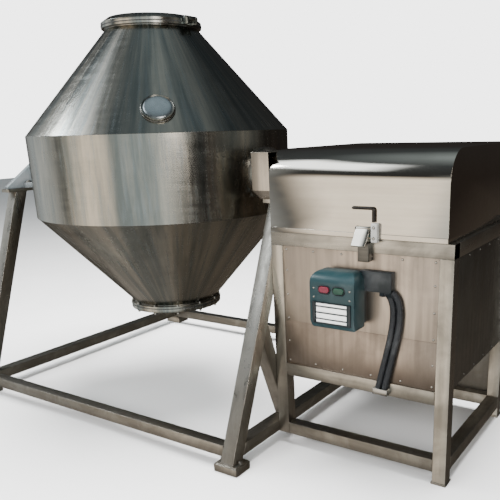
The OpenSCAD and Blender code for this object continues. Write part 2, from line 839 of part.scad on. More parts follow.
// Bent rod hook on the cover's front
hook_r = 4;
hook_w = 66;
hook_drop = 38;
hook_up = 86;
hook_off = 7;
module cover_hook() {
    x1 = latch_cx + latch_w / 2 + 2 * hook_r;
    z1 = cover_z0 + hook_up;
    y1 = cover_y0 - hook_off;
    color(steel_dark) {
        translate([x1 - hook_w, y1, z1]) rotate([0, 90, 0]) cylinder(h = hook_w, r = hook_r);
        translate([x1, y1, z1 - hook_drop]) cylinder(h = hook_drop, r = hook_r);
        translate([x1, y1, z1]) sphere(r = hook_r);
        for (x = [x1 - hook_w, x1 - hook_r]) translate([x, y1, z1]) rotate([-90, 0, 0])
            cylinder(h = hook_off, r = hook_r);
    }
}

leaf_t = 3;
module cover_hinges() {
    color(steel) for (x = [cover_x0 + hinge_in, cover_x1 - hinge_in - knuckle_l]) {
        translate([x - knuckle_l - slide_gap, hinge_y, hinge_z]) rotate([0, 90, 0])
            cylinder(h = 3 * knuckle_l + 2 * slide_gap, r = pin_r);
        for (k = [-1, 1]) translate([x + k * (knuckle_l + slide_gap), 0, 0]) {
            translate([0, hinge_y, hinge_z]) rotate([0, 90, 0]) cylinder(h = knuckle_l, r = knuckle_r);
            translate([0, cab_y1, hinge_z - 3 * knuckle_r])
                cube([knuckle_l, hinge_y - cab_y1, 3 * knuckle_r - leaf_t]);
        }
    }
}

latch_cx = cab_x0 + latch_x;
flap_out = 38;
flap_h = 44;
flap_t = 3;
flap_pin_r = 3;
flap_barrel_r = 6;
flap_y = cover_y0 - lip_t - flap_barrel_r - touch_gap;
flap_up_share = 0.7;
keeper_share = 0.8;
flap_z = cab_h + flap_h * flap_up_share;
flap_low = flap_z - flap_h;
ear_t = 3;
keeper_d = 22;
keeper_h = 55;
module latch_hinge() {
    half = latch_w / 2 + slide_gap;
    color(steel_dark) {
        for (x = [latch_cx - half - ear_t, latch_cx + half]) {
            translate([x, flap_y, flap_z]) rotate([0, 90, 0]) cylinder(h = ear_t, r = flap_barrel_r);
            translate([x, flap_y, flap_z - flap_barrel_r])
                cube([ear_t, cover_y0 - flap_y, 2 * flap_barrel_r]);
        }
        translate([latch_cx - half - ear_t, flap_y, flap_z]) rotate([0, 90, 0])
            cylinder(h = 2 * (half + ear_t), r = flap_pin_r);
    }
}
// Sloping flap that shades and locks the keeper
module latch_flap() {
    color(steel) difference() {
        union() {
            translate([latch_cx - latch_w / 2, flap_y, flap_z]) rotate([0, 90, 0])
                cylinder(h = latch_w, r = flap_barrel_r);
            slab(latch_cx - latch_w / 2, latch_cx + latch_w / 2) polygon([
                [flap_y, flap_z], [flap_y - flap_barrel_r, flap_z],
                [flap_y - flap_out, flap_low], [flap_y - flap_out + flap_t, flap_low - flap_t]
            ]);
        }
        translate([latch_cx - latch_w, flap_y, flap_z]) rotate([0, 90, 0])
            cylinder(h = 2 * latch_w, r = flap_pin_r + run_gap);
    }
}
module latch_keeper() {
    color(steel_dark) translate([latch_cx - latch_w * keeper_share / 2, cab_y0 - keeper_d, flap_low + flap_t - keeper_h])
        cube([latch_w * keeper_share, keeper_d, keeper_h]);
}

// Vessel, drawn round the shaft's axis

module at_shaft() {
    translate([0, 0, shaft_h]) children();
}

// Ring of the vessel's upper half: cone, neck and mouth flange
module cone_shell() {
    rotate_extrude($fn = 160) polygon([
        [belt_r - shell_t, belt_h / 2], [belt_r, belt_h / 2], [mouth_r + shell_t, neck_z],
        [mouth_r + shell_t, face_z - flange_t], [flange_r, face_z - flange_t], [flange_r, face_z],
        [mouth_r, face_z], [mouth_r, neck_z - shell_t / 2]
    ]);
}
module upper_cone() { color(steel_dark) at_shaft() cone_shell(); }
module lower_cone() { color(steel_dark) at_shaft() mirror([0, 0, 1]) cone_shell(); }
module vessel_belt() {
    color(steel_dark) at_shaft() rotate_extrude($fn = 160) polygon([
        [belt_r - shell_t, -belt_h / 2], [belt_r, -belt_h / 2],
        [belt_r, belt_h / 2], [belt_r - shell_t, belt_h / 2]
    ]);
}

hub_plate_r = 84;
hub_plate_t = 20;
hub_boss_r = 46;
hub_ribs = 4;
hub_rib_t = 10;
// Trunnion pointing to +X: curved pad on the belt, boss, ribs and shaft
module trunnion(boss_end, shaft_end) {
    plate_end = belt_r + hub_plate_t;
    difference() {
        union() {
            translate([belt_r - hub_plate_r / 2, 0, 0]) rotate([0, 90, 0])
                cylinder(h = hub_plate_r / 2 + hub_plate_t, r = hub_plate_r, $fn = 96);
            translate([belt_r, 0, 0]) rotate([0, 90, 0]) cylinder(h = boss_end - belt_r, r = hub_boss_r);
            translate([belt_r, 0, 0]) rotate([0, 90, 0])
                cylinder(h = shaft_end - belt_r, r = shaft_d / 2);
            for (i = [0:hub_ribs - 1]) rotate([i * 360 / hub_ribs, 0, 0])
                translate([0, hub_rib_t / 2, 0]) rotate([90, 0, 0]) linear_extrude(hub_rib_t) polygon([
                    [plate_end - over, shaft_d / 2], [plate_end - over, hub_plate_r - hub_rib_t],
                    [boss_end - hub_rib_t, hub_boss_r], [boss_end - hub_rib_t, shaft_d / 2]
                ]);
        }
        cylinder(h = 4 * hub_plate_r, r = belt_r, center = true, $fn = 160);
    }
}
boss_long = 110;
boss_short = 42;
shaft_stub = 22;
shaft_reach = 92;
left_shaft_end = left_x + block_w / 2 + shaft_stub;
right_shaft_end = cab_x0 + shaft_reach;
module left_trunnion() {
    color(steel) at_shaft() mirror([1, 0, 0]) trunnion(belt_r + boss_long, left_shaft_end);
}
module right_trunnion() {
    color(steel) at_shaft() trunnion(belt_r + boss_short, right_shaft_end);
}

// Jaw coupling between the trunnion and the gearbox's output shaft
jaw_r = 58;
jaw_l = 40;
jaw_gap = 22;
jaw_count = 3;
jaw_ease = 4;
// Three teeth standing from x0 to x1, turned by a start angle
module jaw_teeth(x0, x1, start) {
    half_turn = 90 / jaw_count - jaw_ease;
    reach = jaw_r / cos(half_turn) + over;
    intersection() {
        difference() {
            bar_x(x0, x1, jaw_r);
            bar_x(x0 - over, x1 + over, shaft_d / 2);
        }
        union() for (i = [0:jaw_count - 1]) translate([0, 0, shaft_h])
            rotate([start + i * 360 / jaw_count, 0, 0]) slab(x0, x1) polygon([
                [0, 0], [reach * cos(half_turn), -reach * sin(half_turn)],
                [reach * cos(half_turn), reach * sin(half_turn)]
            ]);
    }
}
module shaft_coupling() {
    x0 = right_shaft_end;
    color(cast_grey) {
        difference() {
            bar_x(x0 - jaw_l, x0, jaw_r);
            bar_x(x0 - jaw_l - over, x0 + over, shaft_d / 2);
        }
        jaw_teeth(x0, x0 + jaw_gap - touch_gap, 0);
        jaw_teeth(x0 + touch_gap, x0 + jaw_gap, 180 / jaw_count);
        bar_x(x0 + jaw_gap, x0 + jaw_gap + jaw_l, jaw_r);
    }
    color(steel) bar_x(x0 + jaw_gap + jaw_l - over, gear_cx + gear_w / 2 + 3 * rib_t, out_d / 2);
}

// Round port lying on the upper cone
port_t = 10;
port_ring = 8;
module sight_port() {
    r_at = belt_r - (sight_up - belt_h / 2) * tan(cone_slope);
    color(steel) at_shaft() rotate([0, 0, sight_turn]) difference() {
        translate([0, -r_at, sight_up]) rotate([90 - cone_slope, 0, 0]) difference() {
            translate([0, 0, -port_t]) cylinder(h = 2 * port_t, d = sight_d, $fn = 96);
            translate([0, 0, port_t - port_ring / 3]) difference() {
                cylinder(h = port_ring, d = sight_d - port_ring);
                translate([0, 0, -over]) cylinder(h = port_ring + 2 * over, d = sight_d - 3 * port_ring);
            }
        }
        rotate_extrude($fn = 160) polygon([
            [0, -belt_h / 2], [belt_r, -belt_h / 2], [belt_r, belt_h / 2],
            [mouth_r + shell_t, neck_z], [0, neck_z]
        ]);
    }
}

// Discharge end

module discharge_plate() {
    h = 2 * flange_t;
    color(steel) at_shaft() translate([0, 0, -face_z - h]) difference() {
        union() {
            cylinder(h = h, r = flange_r, $fn = 96);
            translate([0, 0, h]) cylinder(h = flange_t, r = mouth_r - touch_gap, $fn = 96);
        }
        translate([0, 0, -over]) cylinder(h = h + flange_t + 2 * over, d = valve_d);
    }
}

valve_z = -face_z - 2 * flange_t - valve_h / 2;
valve_wall = 7;
spindle_r = 6;
valve_boss_r = 13;
module valve_body() {
    r = valve_d / 2;
    color(steel) at_shaft() translate([0, 0, valve_z]) difference() {
        union() {
            cylinder(h = valve_h, r = r + valve_wall, center = true);
            rotate([-90, 0, 0]) cylinder(h = r + 3 * valve_wall, r = valve_boss_r);
        }
        cylinder(h = valve_h + 2 * over, r = r, center = true);
        rotate([-90, 0, 0]) cylinder(h = 2 * r, r = spindle_r + run_gap);
    }
}
module valve_disc() {
    r = valve_d / 2;
    color(steel) at_shaft() translate([0, 0, valve_z]) {
        cylinder(h = flange_t, r = r - slide_gap, center = true);
        rotate([-90, 0, 0]) cylinder(h = r + 3 * valve_wall + 3 * flange_t, r = spindle_r);
        translate([0, r - 2 * spindle_r, 0]) rotate([90, 0, 0])
            cylinder(h = 2 * r - 4 * spindle_r, r = spindle_r + over);
    }
}
module valve_lever() {
    y = valve_d / 2 + 3 * valve_wall + touch_gap;
    color(steel_dark) at_shaft() translate([0, y, valve_z]) rotate([-90, 0, 0]) difference() {
        union() {
            cylinder(h = 2 * flange_t, r = valve_boss_r);
            translate([-lever_l, -valve_boss_r / 2, flange_t / 2]) cube([lever_l, valve_boss_r, flange_t]);
            translate([-lever_l, 0, flange_t / 2]) cylinder(h = flange_t, r = valve_boss_r);
        }
        translate([0, 0, -over]) cylinder(h = 2 * flange_t + 2 * over, r = spindle_r);
    }
}

// Charging lid, hinged at the right of the upper flange

lid_pin_r = 5;
lid_lug_r = 9;
lid_hinge_x = flange_r + lid_lug_r + 2;
lid_hinge_z = face_z + lid_lug_r + over;
lug_w = 16;
module charging_lid() {
    z0 = face_z + touch_gap;
    color(steel) at_shaft() difference() {
        union() {
            rotate_extrude($fn = 128) polygon([
                [0, z0], [flange_r, z0], [flange_r, z0 + lid_rim_t],
                [flange_r - lid_slope, z0 + lid_h], [0, z0 + lid_h]
            ]);
            translate([flange_r - lid_slope, -lug_w, z0])
                cube([lid_slope + lid_lug_r, 2 * lug_w, lid_rim_t]);
            translate([lid_hinge_x, -lug_w, lid_hinge_z]) rotate([-90, 0, 0])
                cylinder(h = 2 * lug_w, r = lid_lug_r);
        }
        translate([lid_hinge_x, -lug_w - over, lid_hinge_z]) rotate([-90, 0, 0])
            cylinder(h = 2 * lug_w + 2 * over, r = lid_pin_r + run_gap);
    }
}

// Ears on the upper flange that carry the lid's hinge pin
ear_w = 10;
module lid_ears() {
    x0 = flange_r - lid_lug_r / 2;
    color(steel) at_shaft() {
        for (y = [-lug_w - slide_gap - ear_w, lug_w + slide_gap]) {
            difference() {
                translate([x0, y, face_z - flange_t])
                    cube([lid_hinge_x + lid_lug_r - x0, ear_w, flange_t]);
                translate([0, 0, face_z - flange_t - over])
                    cylinder(h = flange_t + 2 * over, r = flange_r, $fn = 160);
            }
            translate([lid_hinge_x - lid_lug_r, y, face_z - over])
                cube([2 * lid_lug_r, ear_w, lid_hinge_z - face_z + over]);
            translate([lid_hinge_x, y, lid_hinge_z]) rotate([-90, 0, 0])
                cylinder(h = ear_w, r = lid_lug_r);
        }
        translate([lid_hinge_x, -lug_w - slide_gap - ear_w, lid_hinge_z]) rotate([-90, 0, 0])
            cylinder(h = 2 * (lug_w + slide_gap + ear_w), r = lid_pin_r);
    }
}

place() base_cross_rails();
place() base_side_rails();
place() left_front_leg();
place() left_rear_leg();
place() right_front_leg();
place() right_rear_leg();
place() knee_brace();
place() bearing_seats();
place() left_bearing();
place() right_bearing();
place() bearing_bolts();
place() bearing_guard();
place() front_posts();
place() back_posts();
place() low_cross_rails();
place() low_side_rail();
place() panel_rail();
place() top_cross_rails();
place() top_side_rails();
place() front_panel();
place() side_panels();
place() back_panel();
place() cover_end_plate();
place() drive_shelf();
place() gearbox_beams();
place() gearbox();
place() to_front() motor();
place() to_front() motor_cowl();
place() to_front() cowl_grille();
place() to_front() v_belt();
place() starter_box();
place() starter_cover();
place() conduits();
place() conduit_clip();
place() cover_hinges();
place() latch_keeper();
place() upper_cone();
place() vessel_belt();
place() lower_cone();
place() left_trunnion();
place() right_trunnion();
place() shaft_coupling();
place() sight_port();
place() lid_ears();
place() discharge_plate();
place() valve_body();
place() charging_lid();
place() valve_disc();
place() valve_lever();
place() to_front() worm_shaft();
place() to_front() motor_rotor();
place() drive_cover();
place() cover_hook();
place() latch_hinge();
place() latch_flap();
place() start_button();
place() stop_button();
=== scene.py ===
import json
import math

import bmesh
import bpy
import numpy as np
from mathutils import Matrix, Vector

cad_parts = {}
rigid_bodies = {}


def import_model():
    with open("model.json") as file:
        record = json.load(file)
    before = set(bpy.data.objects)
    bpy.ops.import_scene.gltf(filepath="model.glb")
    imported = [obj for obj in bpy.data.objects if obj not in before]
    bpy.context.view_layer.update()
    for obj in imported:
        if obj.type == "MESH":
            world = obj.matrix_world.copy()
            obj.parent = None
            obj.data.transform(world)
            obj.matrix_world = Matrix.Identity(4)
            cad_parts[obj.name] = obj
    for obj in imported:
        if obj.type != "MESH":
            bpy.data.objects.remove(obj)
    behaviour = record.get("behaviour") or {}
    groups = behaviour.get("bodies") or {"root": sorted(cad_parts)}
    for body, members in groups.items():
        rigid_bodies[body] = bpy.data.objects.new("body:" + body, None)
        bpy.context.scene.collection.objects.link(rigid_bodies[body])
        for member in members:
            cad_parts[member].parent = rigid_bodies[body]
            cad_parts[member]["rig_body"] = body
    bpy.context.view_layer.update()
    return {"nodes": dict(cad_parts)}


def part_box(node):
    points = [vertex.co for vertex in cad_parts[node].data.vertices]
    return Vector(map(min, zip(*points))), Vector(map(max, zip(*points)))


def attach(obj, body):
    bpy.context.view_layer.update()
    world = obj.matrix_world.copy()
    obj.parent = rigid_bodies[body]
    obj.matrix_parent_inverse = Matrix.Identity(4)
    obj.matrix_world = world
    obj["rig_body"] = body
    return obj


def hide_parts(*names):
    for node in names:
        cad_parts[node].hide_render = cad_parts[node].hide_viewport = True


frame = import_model()

# Places taken from the frame, in metres

belt_low, belt_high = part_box("vessel_belt")
SHAFT = (belt_low + belt_high) / 2
BELT_R = (belt_high.y - belt_low.y) / 2
BELT_TOP = belt_high.z
BELT_FOOT = belt_low.z
CONE_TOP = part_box("upper_cone")[1].z
CONE_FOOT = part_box("lower_cone")[0].z
MM = 0.001


# Meshes

def mesh_piece(name, points, faces, material, smooth_angle=40.0):
    """A mesh object from corner points and faces, its doubles merged, its faces turned outwards and
    every edge sharper than smooth_angle kept sharp."""
    mesh = bpy.data.meshes.new(name)
    mesh.from_pydata([tuple(p) for p in np.asarray(points, float)], [], faces)
    piece = bpy.data.objects.new(name, mesh)
    bpy.context.scene.collection.objects.link(piece)
    settle(mesh, smooth_angle)
    mesh.materials.append(material)
    return piece


def settle(mesh, smooth_angle):
    """Merges doubles, points the faces outwards and marks the sharp edges."""
    merge = 1e-6
    shape = bmesh.new()
    shape.from_mesh(mesh)
    bmesh.ops.remove_doubles(shape, verts=shape.verts, dist=merge)
    bmesh.ops.dissolve_degenerate(shape, edges=shape.edges, dist=merge)
    bmesh.ops.recalc_face_normals(shape, faces=shape.faces)
    limit = math.radians(smooth_angle)
    for edge in shape.edges:
        edge.smooth = len(edge.link_faces) == 2 and edge.calc_face_angle(0.0) < limit
    for face in shape.faces:
        face.smooth = True
    shape.to_mesh(mesh)
    shape.free()


def grid_faces(rows, columns, closed_rows, closed_columns):
    """The quads of a grid of points numbered row by row."""
    r = np.arange(rows if closed_rows else rows - 1)[:, None]
    c = np.arange(columns if closed_columns else columns - 1)[None, :]
    r1 = (r + 1) % rows
    c1 = (c + 1) % columns
    corners = [r * columns + c, r * columns + c1, r1 * columns + c1, r1 * columns + c]
    return np.stack(np.broadcast_arrays(*corners), -1).reshape(-1, 4).tolist()


def square_axes(axis):
    """Three unit directions: two square to the axis, then the axis."""
    w = Vector(axis).normalized()
    u = w.orthogonal().normalized()
    return np.array(u), np.array(w.cross(u)), np.array(w)


def turned(name, profile, centre, axis, material, steps=96, smooth_angle=40.0):
    """A lathe piece: each (radius, height) of a closed profile goes round the axis through centre.
    The point at angle a is centre + radius (cos a * u + sin a * v) + height * axis, with u and v
    square to the axis."""
    u, v, w = square_axes(axis)
    profile = np.asarray(profile, float)
    a = np.linspace(0, 2 * np.pi, steps, endpoint=False)[:, None, None]
    radius = profile[None, :, :1]
    height = profile[None, :, 1:]
    points = np.array(centre) + radius * (np.cos(a) * u + np.sin(a) * v) + height * w
    faces = grid_faces(steps, len(profile), True, True)
    return mesh_piece(name, points.reshape(-1, 3), faces, material, smooth_angle)


def bead(name, radius, height, thick, centre, axis, material, steps=144, ripples=0, rise=0.0):
    """A weld bead or ring: a small circle of radius thick carried round the axis, whose own radius
    swells by rise in ripples waves, as the scales of a weld do."""
    u, v, w = square_axes(axis)
    a = np.linspace(0, 2 * np.pi, steps, endpoint=False)[:, None, None]
    b = np.linspace(0, 2 * np.pi, 8, endpoint=False)[None, :, None]
    t = thick * (1 + rise * np.cos(ripples * a))
    out = np.cos(a) * u + np.sin(a) * v
    points = np.array(centre) + (radius + t * np.cos(b)) * out + (height + t * np.sin(b)) * w
    return mesh_piece(name, points.reshape(-1, 3), grid_faces(steps, 8, True, True), material, 180)


def sweep_points(path, outline, sizes=None):
    """Carries a flat outline along a path: at each path point the outline's two coordinates, times
    the size there, lie on two directions square to the path, which turn with it as little as they
    can."""
    path = np.asarray(path, float)
    outline = np.asarray(outline, float)
    along = np.gradient(path, axis=0)
    along /= np.linalg.norm(along, axis=1)[:, None]
    side = np.array(Vector(along[0]).orthogonal().normalized())
    sizes = np.ones(len(path)) if sizes is None else sizes
    rows = []
    for point, direction, size in zip(path, along, sizes):
        side = side - direction * side.dot(direction)
        side /= np.linalg.norm(side)
        up = np.cross(direction, side)
        rows.append(point + size * (outline[:, :1] * side + outline[:, 1:] * up))
    return np.array(rows)


def swept(name, path, outline, material, closed=False):
    """A bar: an outline carried along a path, with flat ends unless the path closes."""
    points = sweep_points(path, outline)
    rows, columns = points.shape[:2]
    faces = grid_faces(rows, columns, closed, True)
    if not closed:
        faces.append(list(range(columns)))
        faces.append([(rows - 1) * columns + k for k in range(columns)])
    return mesh_piece(name, points.reshape(-1, 3), faces, material)


def ring_outline(radius, sides=12):
    """A circle as an outline."""
    a = np.linspace(0, 2 * np.pi, sides, endpoint=False)
    return np.stack([radius * np.cos(a), radius * np.sin(a)], 1)


def block(name, low, high, material, edge=0.0015, segments=3):
    """A box with rounded edges between two corners."""
    low = np.array(low, float)
    high = np.array(high, float)
    picks = np.array([[x, y, z] for x in (0, 1) for y in (0, 1) for z in (0, 1)])
    points = low + (high - low) * picks
    faces = [[0, 1, 3, 2], [4, 6, 7, 5], [0, 4, 5, 1], [2, 3, 7, 6], [0, 2, 6, 4], [1, 5, 7, 3]]
    piece = mesh_piece(name, points, faces, material, 30)
    round_edges(piece, edge, segments)
    return piece


def round_edges(piece, width, segments=3):
    """Rounds the edges of a finished piece and keeps its flats flat."""
    bevel = piece.modifiers.new("edges", "BEVEL")
    bevel.width = width
    bevel.segments = segments
    bevel.limit_method = "ANGLE"
    bevel.angle_limit = math.radians(28)
    bevel.harden_normals = False
    bake_modifiers(piece)
    for face in piece.data.polygons:
        face.use_smooth = True
    piece.data.set_sharp_from_angle(angle=math.radians(35))


def bake_modifiers(piece):
    """Replaces a piece's mesh by what its modifiers make of it."""
    bpy.context.view_layer.update()
    graph = bpy.context.evaluated_depsgraph_get()
    made = bpy.data.meshes.new_from_object(piece.evaluated_get(graph))
    piece.modifiers.clear()
    old = piece.data
    piece.data = made
    bpy.data.meshes.remove(old)


def dressed(node, material, width, wider=0.0):
    """A copy of a CAD node with its edges rounded, which stands in the node's place. It may be
    wider than the node to both sides along x."""
    source = frame["nodes"][node]
    mesh = source.data.copy()
    mesh.materials.clear()
    shape = bmesh.new()
    shape.from_mesh(mesh)
    bmesh.ops.remove_doubles(shape, verts=shape.verts, dist=2e-6)
    bmesh.ops.recalc_face_normals(shape, faces=shape.faces)
    bmesh.ops.dissolve_limit(
        shape, angle_limit=math.radians(0.6), verts=shape.verts, edges=shape.edges
    )
    low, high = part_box(node)
    for vert in shape.verts:
        vert.co.x += math.copysign(wider, vert.co.x - (low.x + high.x) / 2)
    shape.to_mesh(mesh)
    shape.free()
    piece = bpy.data.objects.new(node + "_finished", mesh)
    bpy.context.scene.collection.objects.link(piece)
    mesh.materials.append(material)
    round_edges(piece, width)
    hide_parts(node)
    return place_on(piece, source["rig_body"])


def place_on(piece, body):
    """Makes a piece ride on a body."""
    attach(piece, body)
    return piece


# Finishes

def new_group(name, inputs, outputs):
    """A shader group with named sockets, and its two end nodes."""
    tree = bpy.data.node_groups.new(name, "ShaderNodeTree")
    for label, kind, value in inputs:
        socket = tree.interface.new_socket(name=label, in_out="INPUT", socket_type=kind)
        if value is not None:
            socket.default_value = value
    for label, kind in outputs:
        tree.interface.new_socket(name=label, in_out="OUTPUT", socket_type=kind)
    return tree, tree.nodes.new("NodeGroupInput"), tree.nodes.new("NodeGroupOutput")


def math_node(tree, operation, a, b=None, clamp=False):
    """One sum in a node tree. Each side is a socket or a number."""
    node = tree.nodes.new("ShaderNodeMath")
    node.operation = operation
    node.use_clamp = clamp
    for index, side in enumerate((a, b)):
        if side is None:
            continue
        if isinstance(side, (int, float)):
            node.inputs[index].default_value = side
        else:
            tree.links.new(side, node.inputs[index])
    return node.outputs[0]


def noise_node(tree, vector, scale, detail=4.0, roughness=0.55, distortion=0.0):
    """A noise texture's value on a vector."""
    node = tree.nodes.new("ShaderNodeTexNoise")
    tree.links.new(vector, node.inputs["Vector"])
    node.inputs["Scale"].default_value = scale
    node.inputs["Detail"].default_value = detail
    node.inputs["Roughness"].default_value = roughness
    node.inputs["Distortion"].default_value = distortion
    return node.outputs["Fac"]


def range_node(tree, value, from_low, from_high, to_low=0.0, to_high=1.0):
    """Carries a value from one range to another, held at the ends."""
    node = tree.nodes.new("ShaderNodeMapRange")
    tree.links.new(value, node.inputs["Value"])
    for label, number in zip(("From Min", "From Max", "To Min", "To Max"),
                             (from_low, from_high, to_low, to_high)):
        node.inputs[label].default_value = number
    return node.outputs["Result"]


def mix_colour(tree, mask, a, b):
    """Mixes two colours by a mask's socket. Each colour is a socket or a tuple."""
    node = tree.nodes.new("ShaderNodeMix")
    node.data_type = "RGBA"
    tree.links.new(mask, node.inputs[0])
    for index, side in ((6, a), (7, b)):
        if isinstance(side, tuple):
            node.inputs[index].default_value = (*side, 1.0)
        else:
            tree.links.new(side, node.inputs[index])
    return node.outputs[2]


def make_brushed_group():
    """Fine scratches along one way: noise on coordinates that are squeezed along the grain, coarse
    and fine, and a slow blotch that makes some of the sheet duller."""
    tree, source, sink = new_group(
        "brushed grain",
        [("Vector", "NodeSocketVector", None), ("Squeeze", "NodeSocketVector", (1.0, 1.0, 1.0))],
        [("Grain", "NodeSocketFloat"), ("Fine", "NodeSocketFloat"), ("Blotch", "NodeSocketFloat")],
    )
    squeezed = tree.nodes.new("ShaderNodeVectorMath")
    squeezed.operation = "MULTIPLY"
    tree.links.new(source.outputs["Vector"], squeezed.inputs[0])
    tree.links.new(source.outputs["Squeeze"], squeezed.inputs[1])
    tree.links.new(noise_node(tree, squeezed.outputs[0], 60.0, 5.0), sink.inputs["Grain"])
    tree.links.new(noise_node(tree, squeezed.outputs[0], 420.0, 3.0), sink.inputs["Fine"])
    blotch = noise_node(tree, source.outputs["Vector"], 5.0, 6.0, 0.6, 0.4)
    tree.links.new(blotch, sink.inputs["Blotch"])
    return tree


def make_soil_group():
    """Handled and dusty places: blotches of noise cut to a mask, stronger near the floor."""
    tree, source, sink = new_group(
        "soil",
        [("Vector", "NodeSocketVector", None), ("Spread", "NodeSocketFloat", 0.5)],
        [("Soil", "NodeSocketFloat")],
    )
    wide = noise_node(tree, source.outputs["Vector"], 7.0, 8.0, 0.62, 0.5)
    split = tree.nodes.new("ShaderNodeSeparateXYZ")
    tree.links.new(source.outputs["Vector"], split.inputs[0])
    low = range_node(tree, split.outputs["Z"], 0.0, 0.55, 0.22, 0.0)
    total = math_node(tree, "ADD", wide, low)
    spread = math_node(tree, "MULTIPLY", source.outputs["Spread"], 0.2)
    total = math_node(tree, "ADD", total, spread)
    tree.links.new(range_node(tree, total, 0.55, 0.85), sink.inputs["Soil"])
    return tree


BRUSHED = make_brushed_group()
SOIL = make_soil_group()


def start_material(name):
    """A material with its Principled node, its tree and the piece's own coordinates."""
    material = bpy.data.materials.new(name)
    material.use_nodes = True
    tree = material.node_tree
    shader = tree.nodes["Principled BSDF"]
    place = tree.nodes.new("ShaderNodeTexCoord").outputs["Object"]
    return material, tree, shader, place


def group_node(tree, group, vector, **values):
    """Places a shared group, fed by a vector and by constant values."""
    node = tree.nodes.new("ShaderNodeGroup")
    node.node_tree = group
    tree.links.new(vector, node.inputs["Vector"])
    for label, value in values.items():
        node.inputs[label].default_value = value
    return node


def add_bump(tree, shader, height, distance, strength=1.0):
    """Feeds a height to the shader's normal."""
    bump = tree.nodes.new("ShaderNodeBump")
    bump.inputs["Distance"].default_value = distance
    bump.inputs["Strength"].default_value = strength
    tree.links.new(height, bump.inputs["Height"])
    tree.links.new(bump.outputs["Normal"], shader.inputs["Normal"])


def brushed_steel(name, light, dark, low_rough, high_rough, squeeze, soil, grain=0.00004):
    """Stainless steel with a grain: its colour runs between light and dark with the grain, and its
    gloss between the two roughnesses, duller where it is soiled."""
    material, tree, shader, place = start_material(name)
    brush = group_node(tree, BRUSHED, place, Squeeze=squeeze)
    soiled = group_node(tree, SOIL, place, Spread=soil)
    shader.inputs["Metallic"].default_value = 1.0
    tone = math_node(tree, "ADD", math_node(tree, "MULTIPLY", brush.outputs["Grain"], 0.6),
                     math_node(tree, "MULTIPLY", brush.outputs["Blotch"], 0.6))
    colour = mix_colour(tree, range_node(tree, tone, 0.4, 0.8), light, dark)
    stain = math_node(tree, "MULTIPLY", soiled.outputs["Soil"], soil)
    colour = mix_colour(tree, stain, colour, (0.12, 0.10, 0.08))
    tree.links.new(colour, shader.inputs["Base Color"])
    rough = range_node(tree, brush.outputs["Grain"], 0.3, 0.7, low_rough, high_rough)
    rough = math_node(tree, "ADD", rough, math_node(tree, "MULTIPLY", stain, 0.35), clamp=True)
    tree.links.new(rough, shader.inputs["Roughness"])
    add_bump(tree, shader, brush.outputs["Fine"], grain)
    return material


def vessel_steel():
    """The vessel's polished sheet. Its coordinates go round the vessel's upright axis: the angle
    and the height. Painted reflections run down the sheet as tan and bluish streaks over a grey
    base colour, and the polish has faint bands."""
    material, tree, shader, place = start_material("vessel polished steel")
    centred = tree.nodes.new("ShaderNodeVectorMath")
    centred.operation = "SUBTRACT"
    centred.inputs[1].default_value = SHAFT
    tree.links.new(place, centred.inputs[0])
    split = tree.nodes.new("ShaderNodeSeparateXYZ")
    tree.links.new(centred.outputs[0], split.inputs[0])
    angle = math_node(tree, "ARCTAN2", split.outputs["Y"], split.outputs["X"])
    round_it = tree.nodes.new("ShaderNodeCombineXYZ")
    tree.links.new(math_node(tree, "COSINE", angle), round_it.inputs["X"])
    tree.links.new(math_node(tree, "SINE", angle), round_it.inputs["Y"])
    tree.links.new(math_node(tree, "MULTIPLY", split.outputs["Z"], 0.22), round_it.inputs["Z"])
    painted_reflection_streak = noise_node(tree, round_it.outputs[0], 5.5, 6.0, 0.6)
    thin_painted_reflection = noise_node(tree, round_it.outputs[0], 34.0, 4.0, 0.6)
    bands = tree.nodes.new("ShaderNodeCombineXYZ")
    tree.links.new(math_node(tree, "MULTIPLY", split.outputs["Z"], 6.0), bands.inputs["Z"])
    tree.links.new(math_node(tree, "MULTIPLY", angle, 0.3), bands.inputs["X"])
    band = noise_node(tree, bands.outputs[0], 9.0, 5.0)
    soiled = group_node(tree, SOIL, place, Spread=0.1)
    shader.inputs["Metallic"].default_value = 1.0
    # Painted reflection: the tan and bluish streaks in the base colour stand in for the workshop
    # mirrored in the polish.
    base = mix_colour(tree, range_node(tree, painted_reflection_streak, 0.40, 0.60), (0.22, 0.235, 0.225),
                      (0.50, 0.465, 0.405))
    base = mix_colour(tree, range_node(tree, thin_painted_reflection, 0.5, 0.72, 0.0, 0.55), base, (0.30, 0.34, 0.36))
    stain = math_node(tree, "MULTIPLY", soiled.outputs["Soil"], 0.25)
    base = mix_colour(tree, stain, base, (0.12, 0.11, 0.10))
    tree.links.new(base, shader.inputs["Base Color"])
    rough = math_node(tree, "ADD", range_node(tree, thin_painted_reflection, 0.3, 0.7, 0.15, 0.25),
                      range_node(tree, band, 0.3, 0.7, 0.0, 0.08))
    tree.links.new(rough, shader.inputs["Roughness"])
    height = math_node(tree, "ADD", math_node(tree, "MULTIPLY", band, 0.5),
                       math_node(tree, "MULTIPLY", painted_reflection_streak, 0.5))
    add_bump(tree, shader, height, 0.0012, 0.35)
    return material


def painted(name, colour, rough, speckle=0.0002):
    """Paint or cast skin: a slight orange peel and soiled places."""
    material, tree, shader, place = start_material(name)
    soiled = group_node(tree, SOIL, place, Spread=0.4)
    worn = math_node(tree, "MULTIPLY", soiled.outputs["Soil"], 0.5)
    shade = mix_colour(tree, worn, colour, (0.25, 0.25, 0.25))
    tree.links.new(shade, shader.inputs["Base Color"])
    peel = noise_node(tree, place, 260.0, 3.0)
    dull = range_node(tree, peel, 0.3, 0.7, rough - 0.06, rough + 0.08)
    tree.links.new(dull, shader.inputs["Roughness"])
    add_bump(tree, shader, peel, speckle)
    shader.inputs["Coat Weight"].default_value = 0.2
    return material


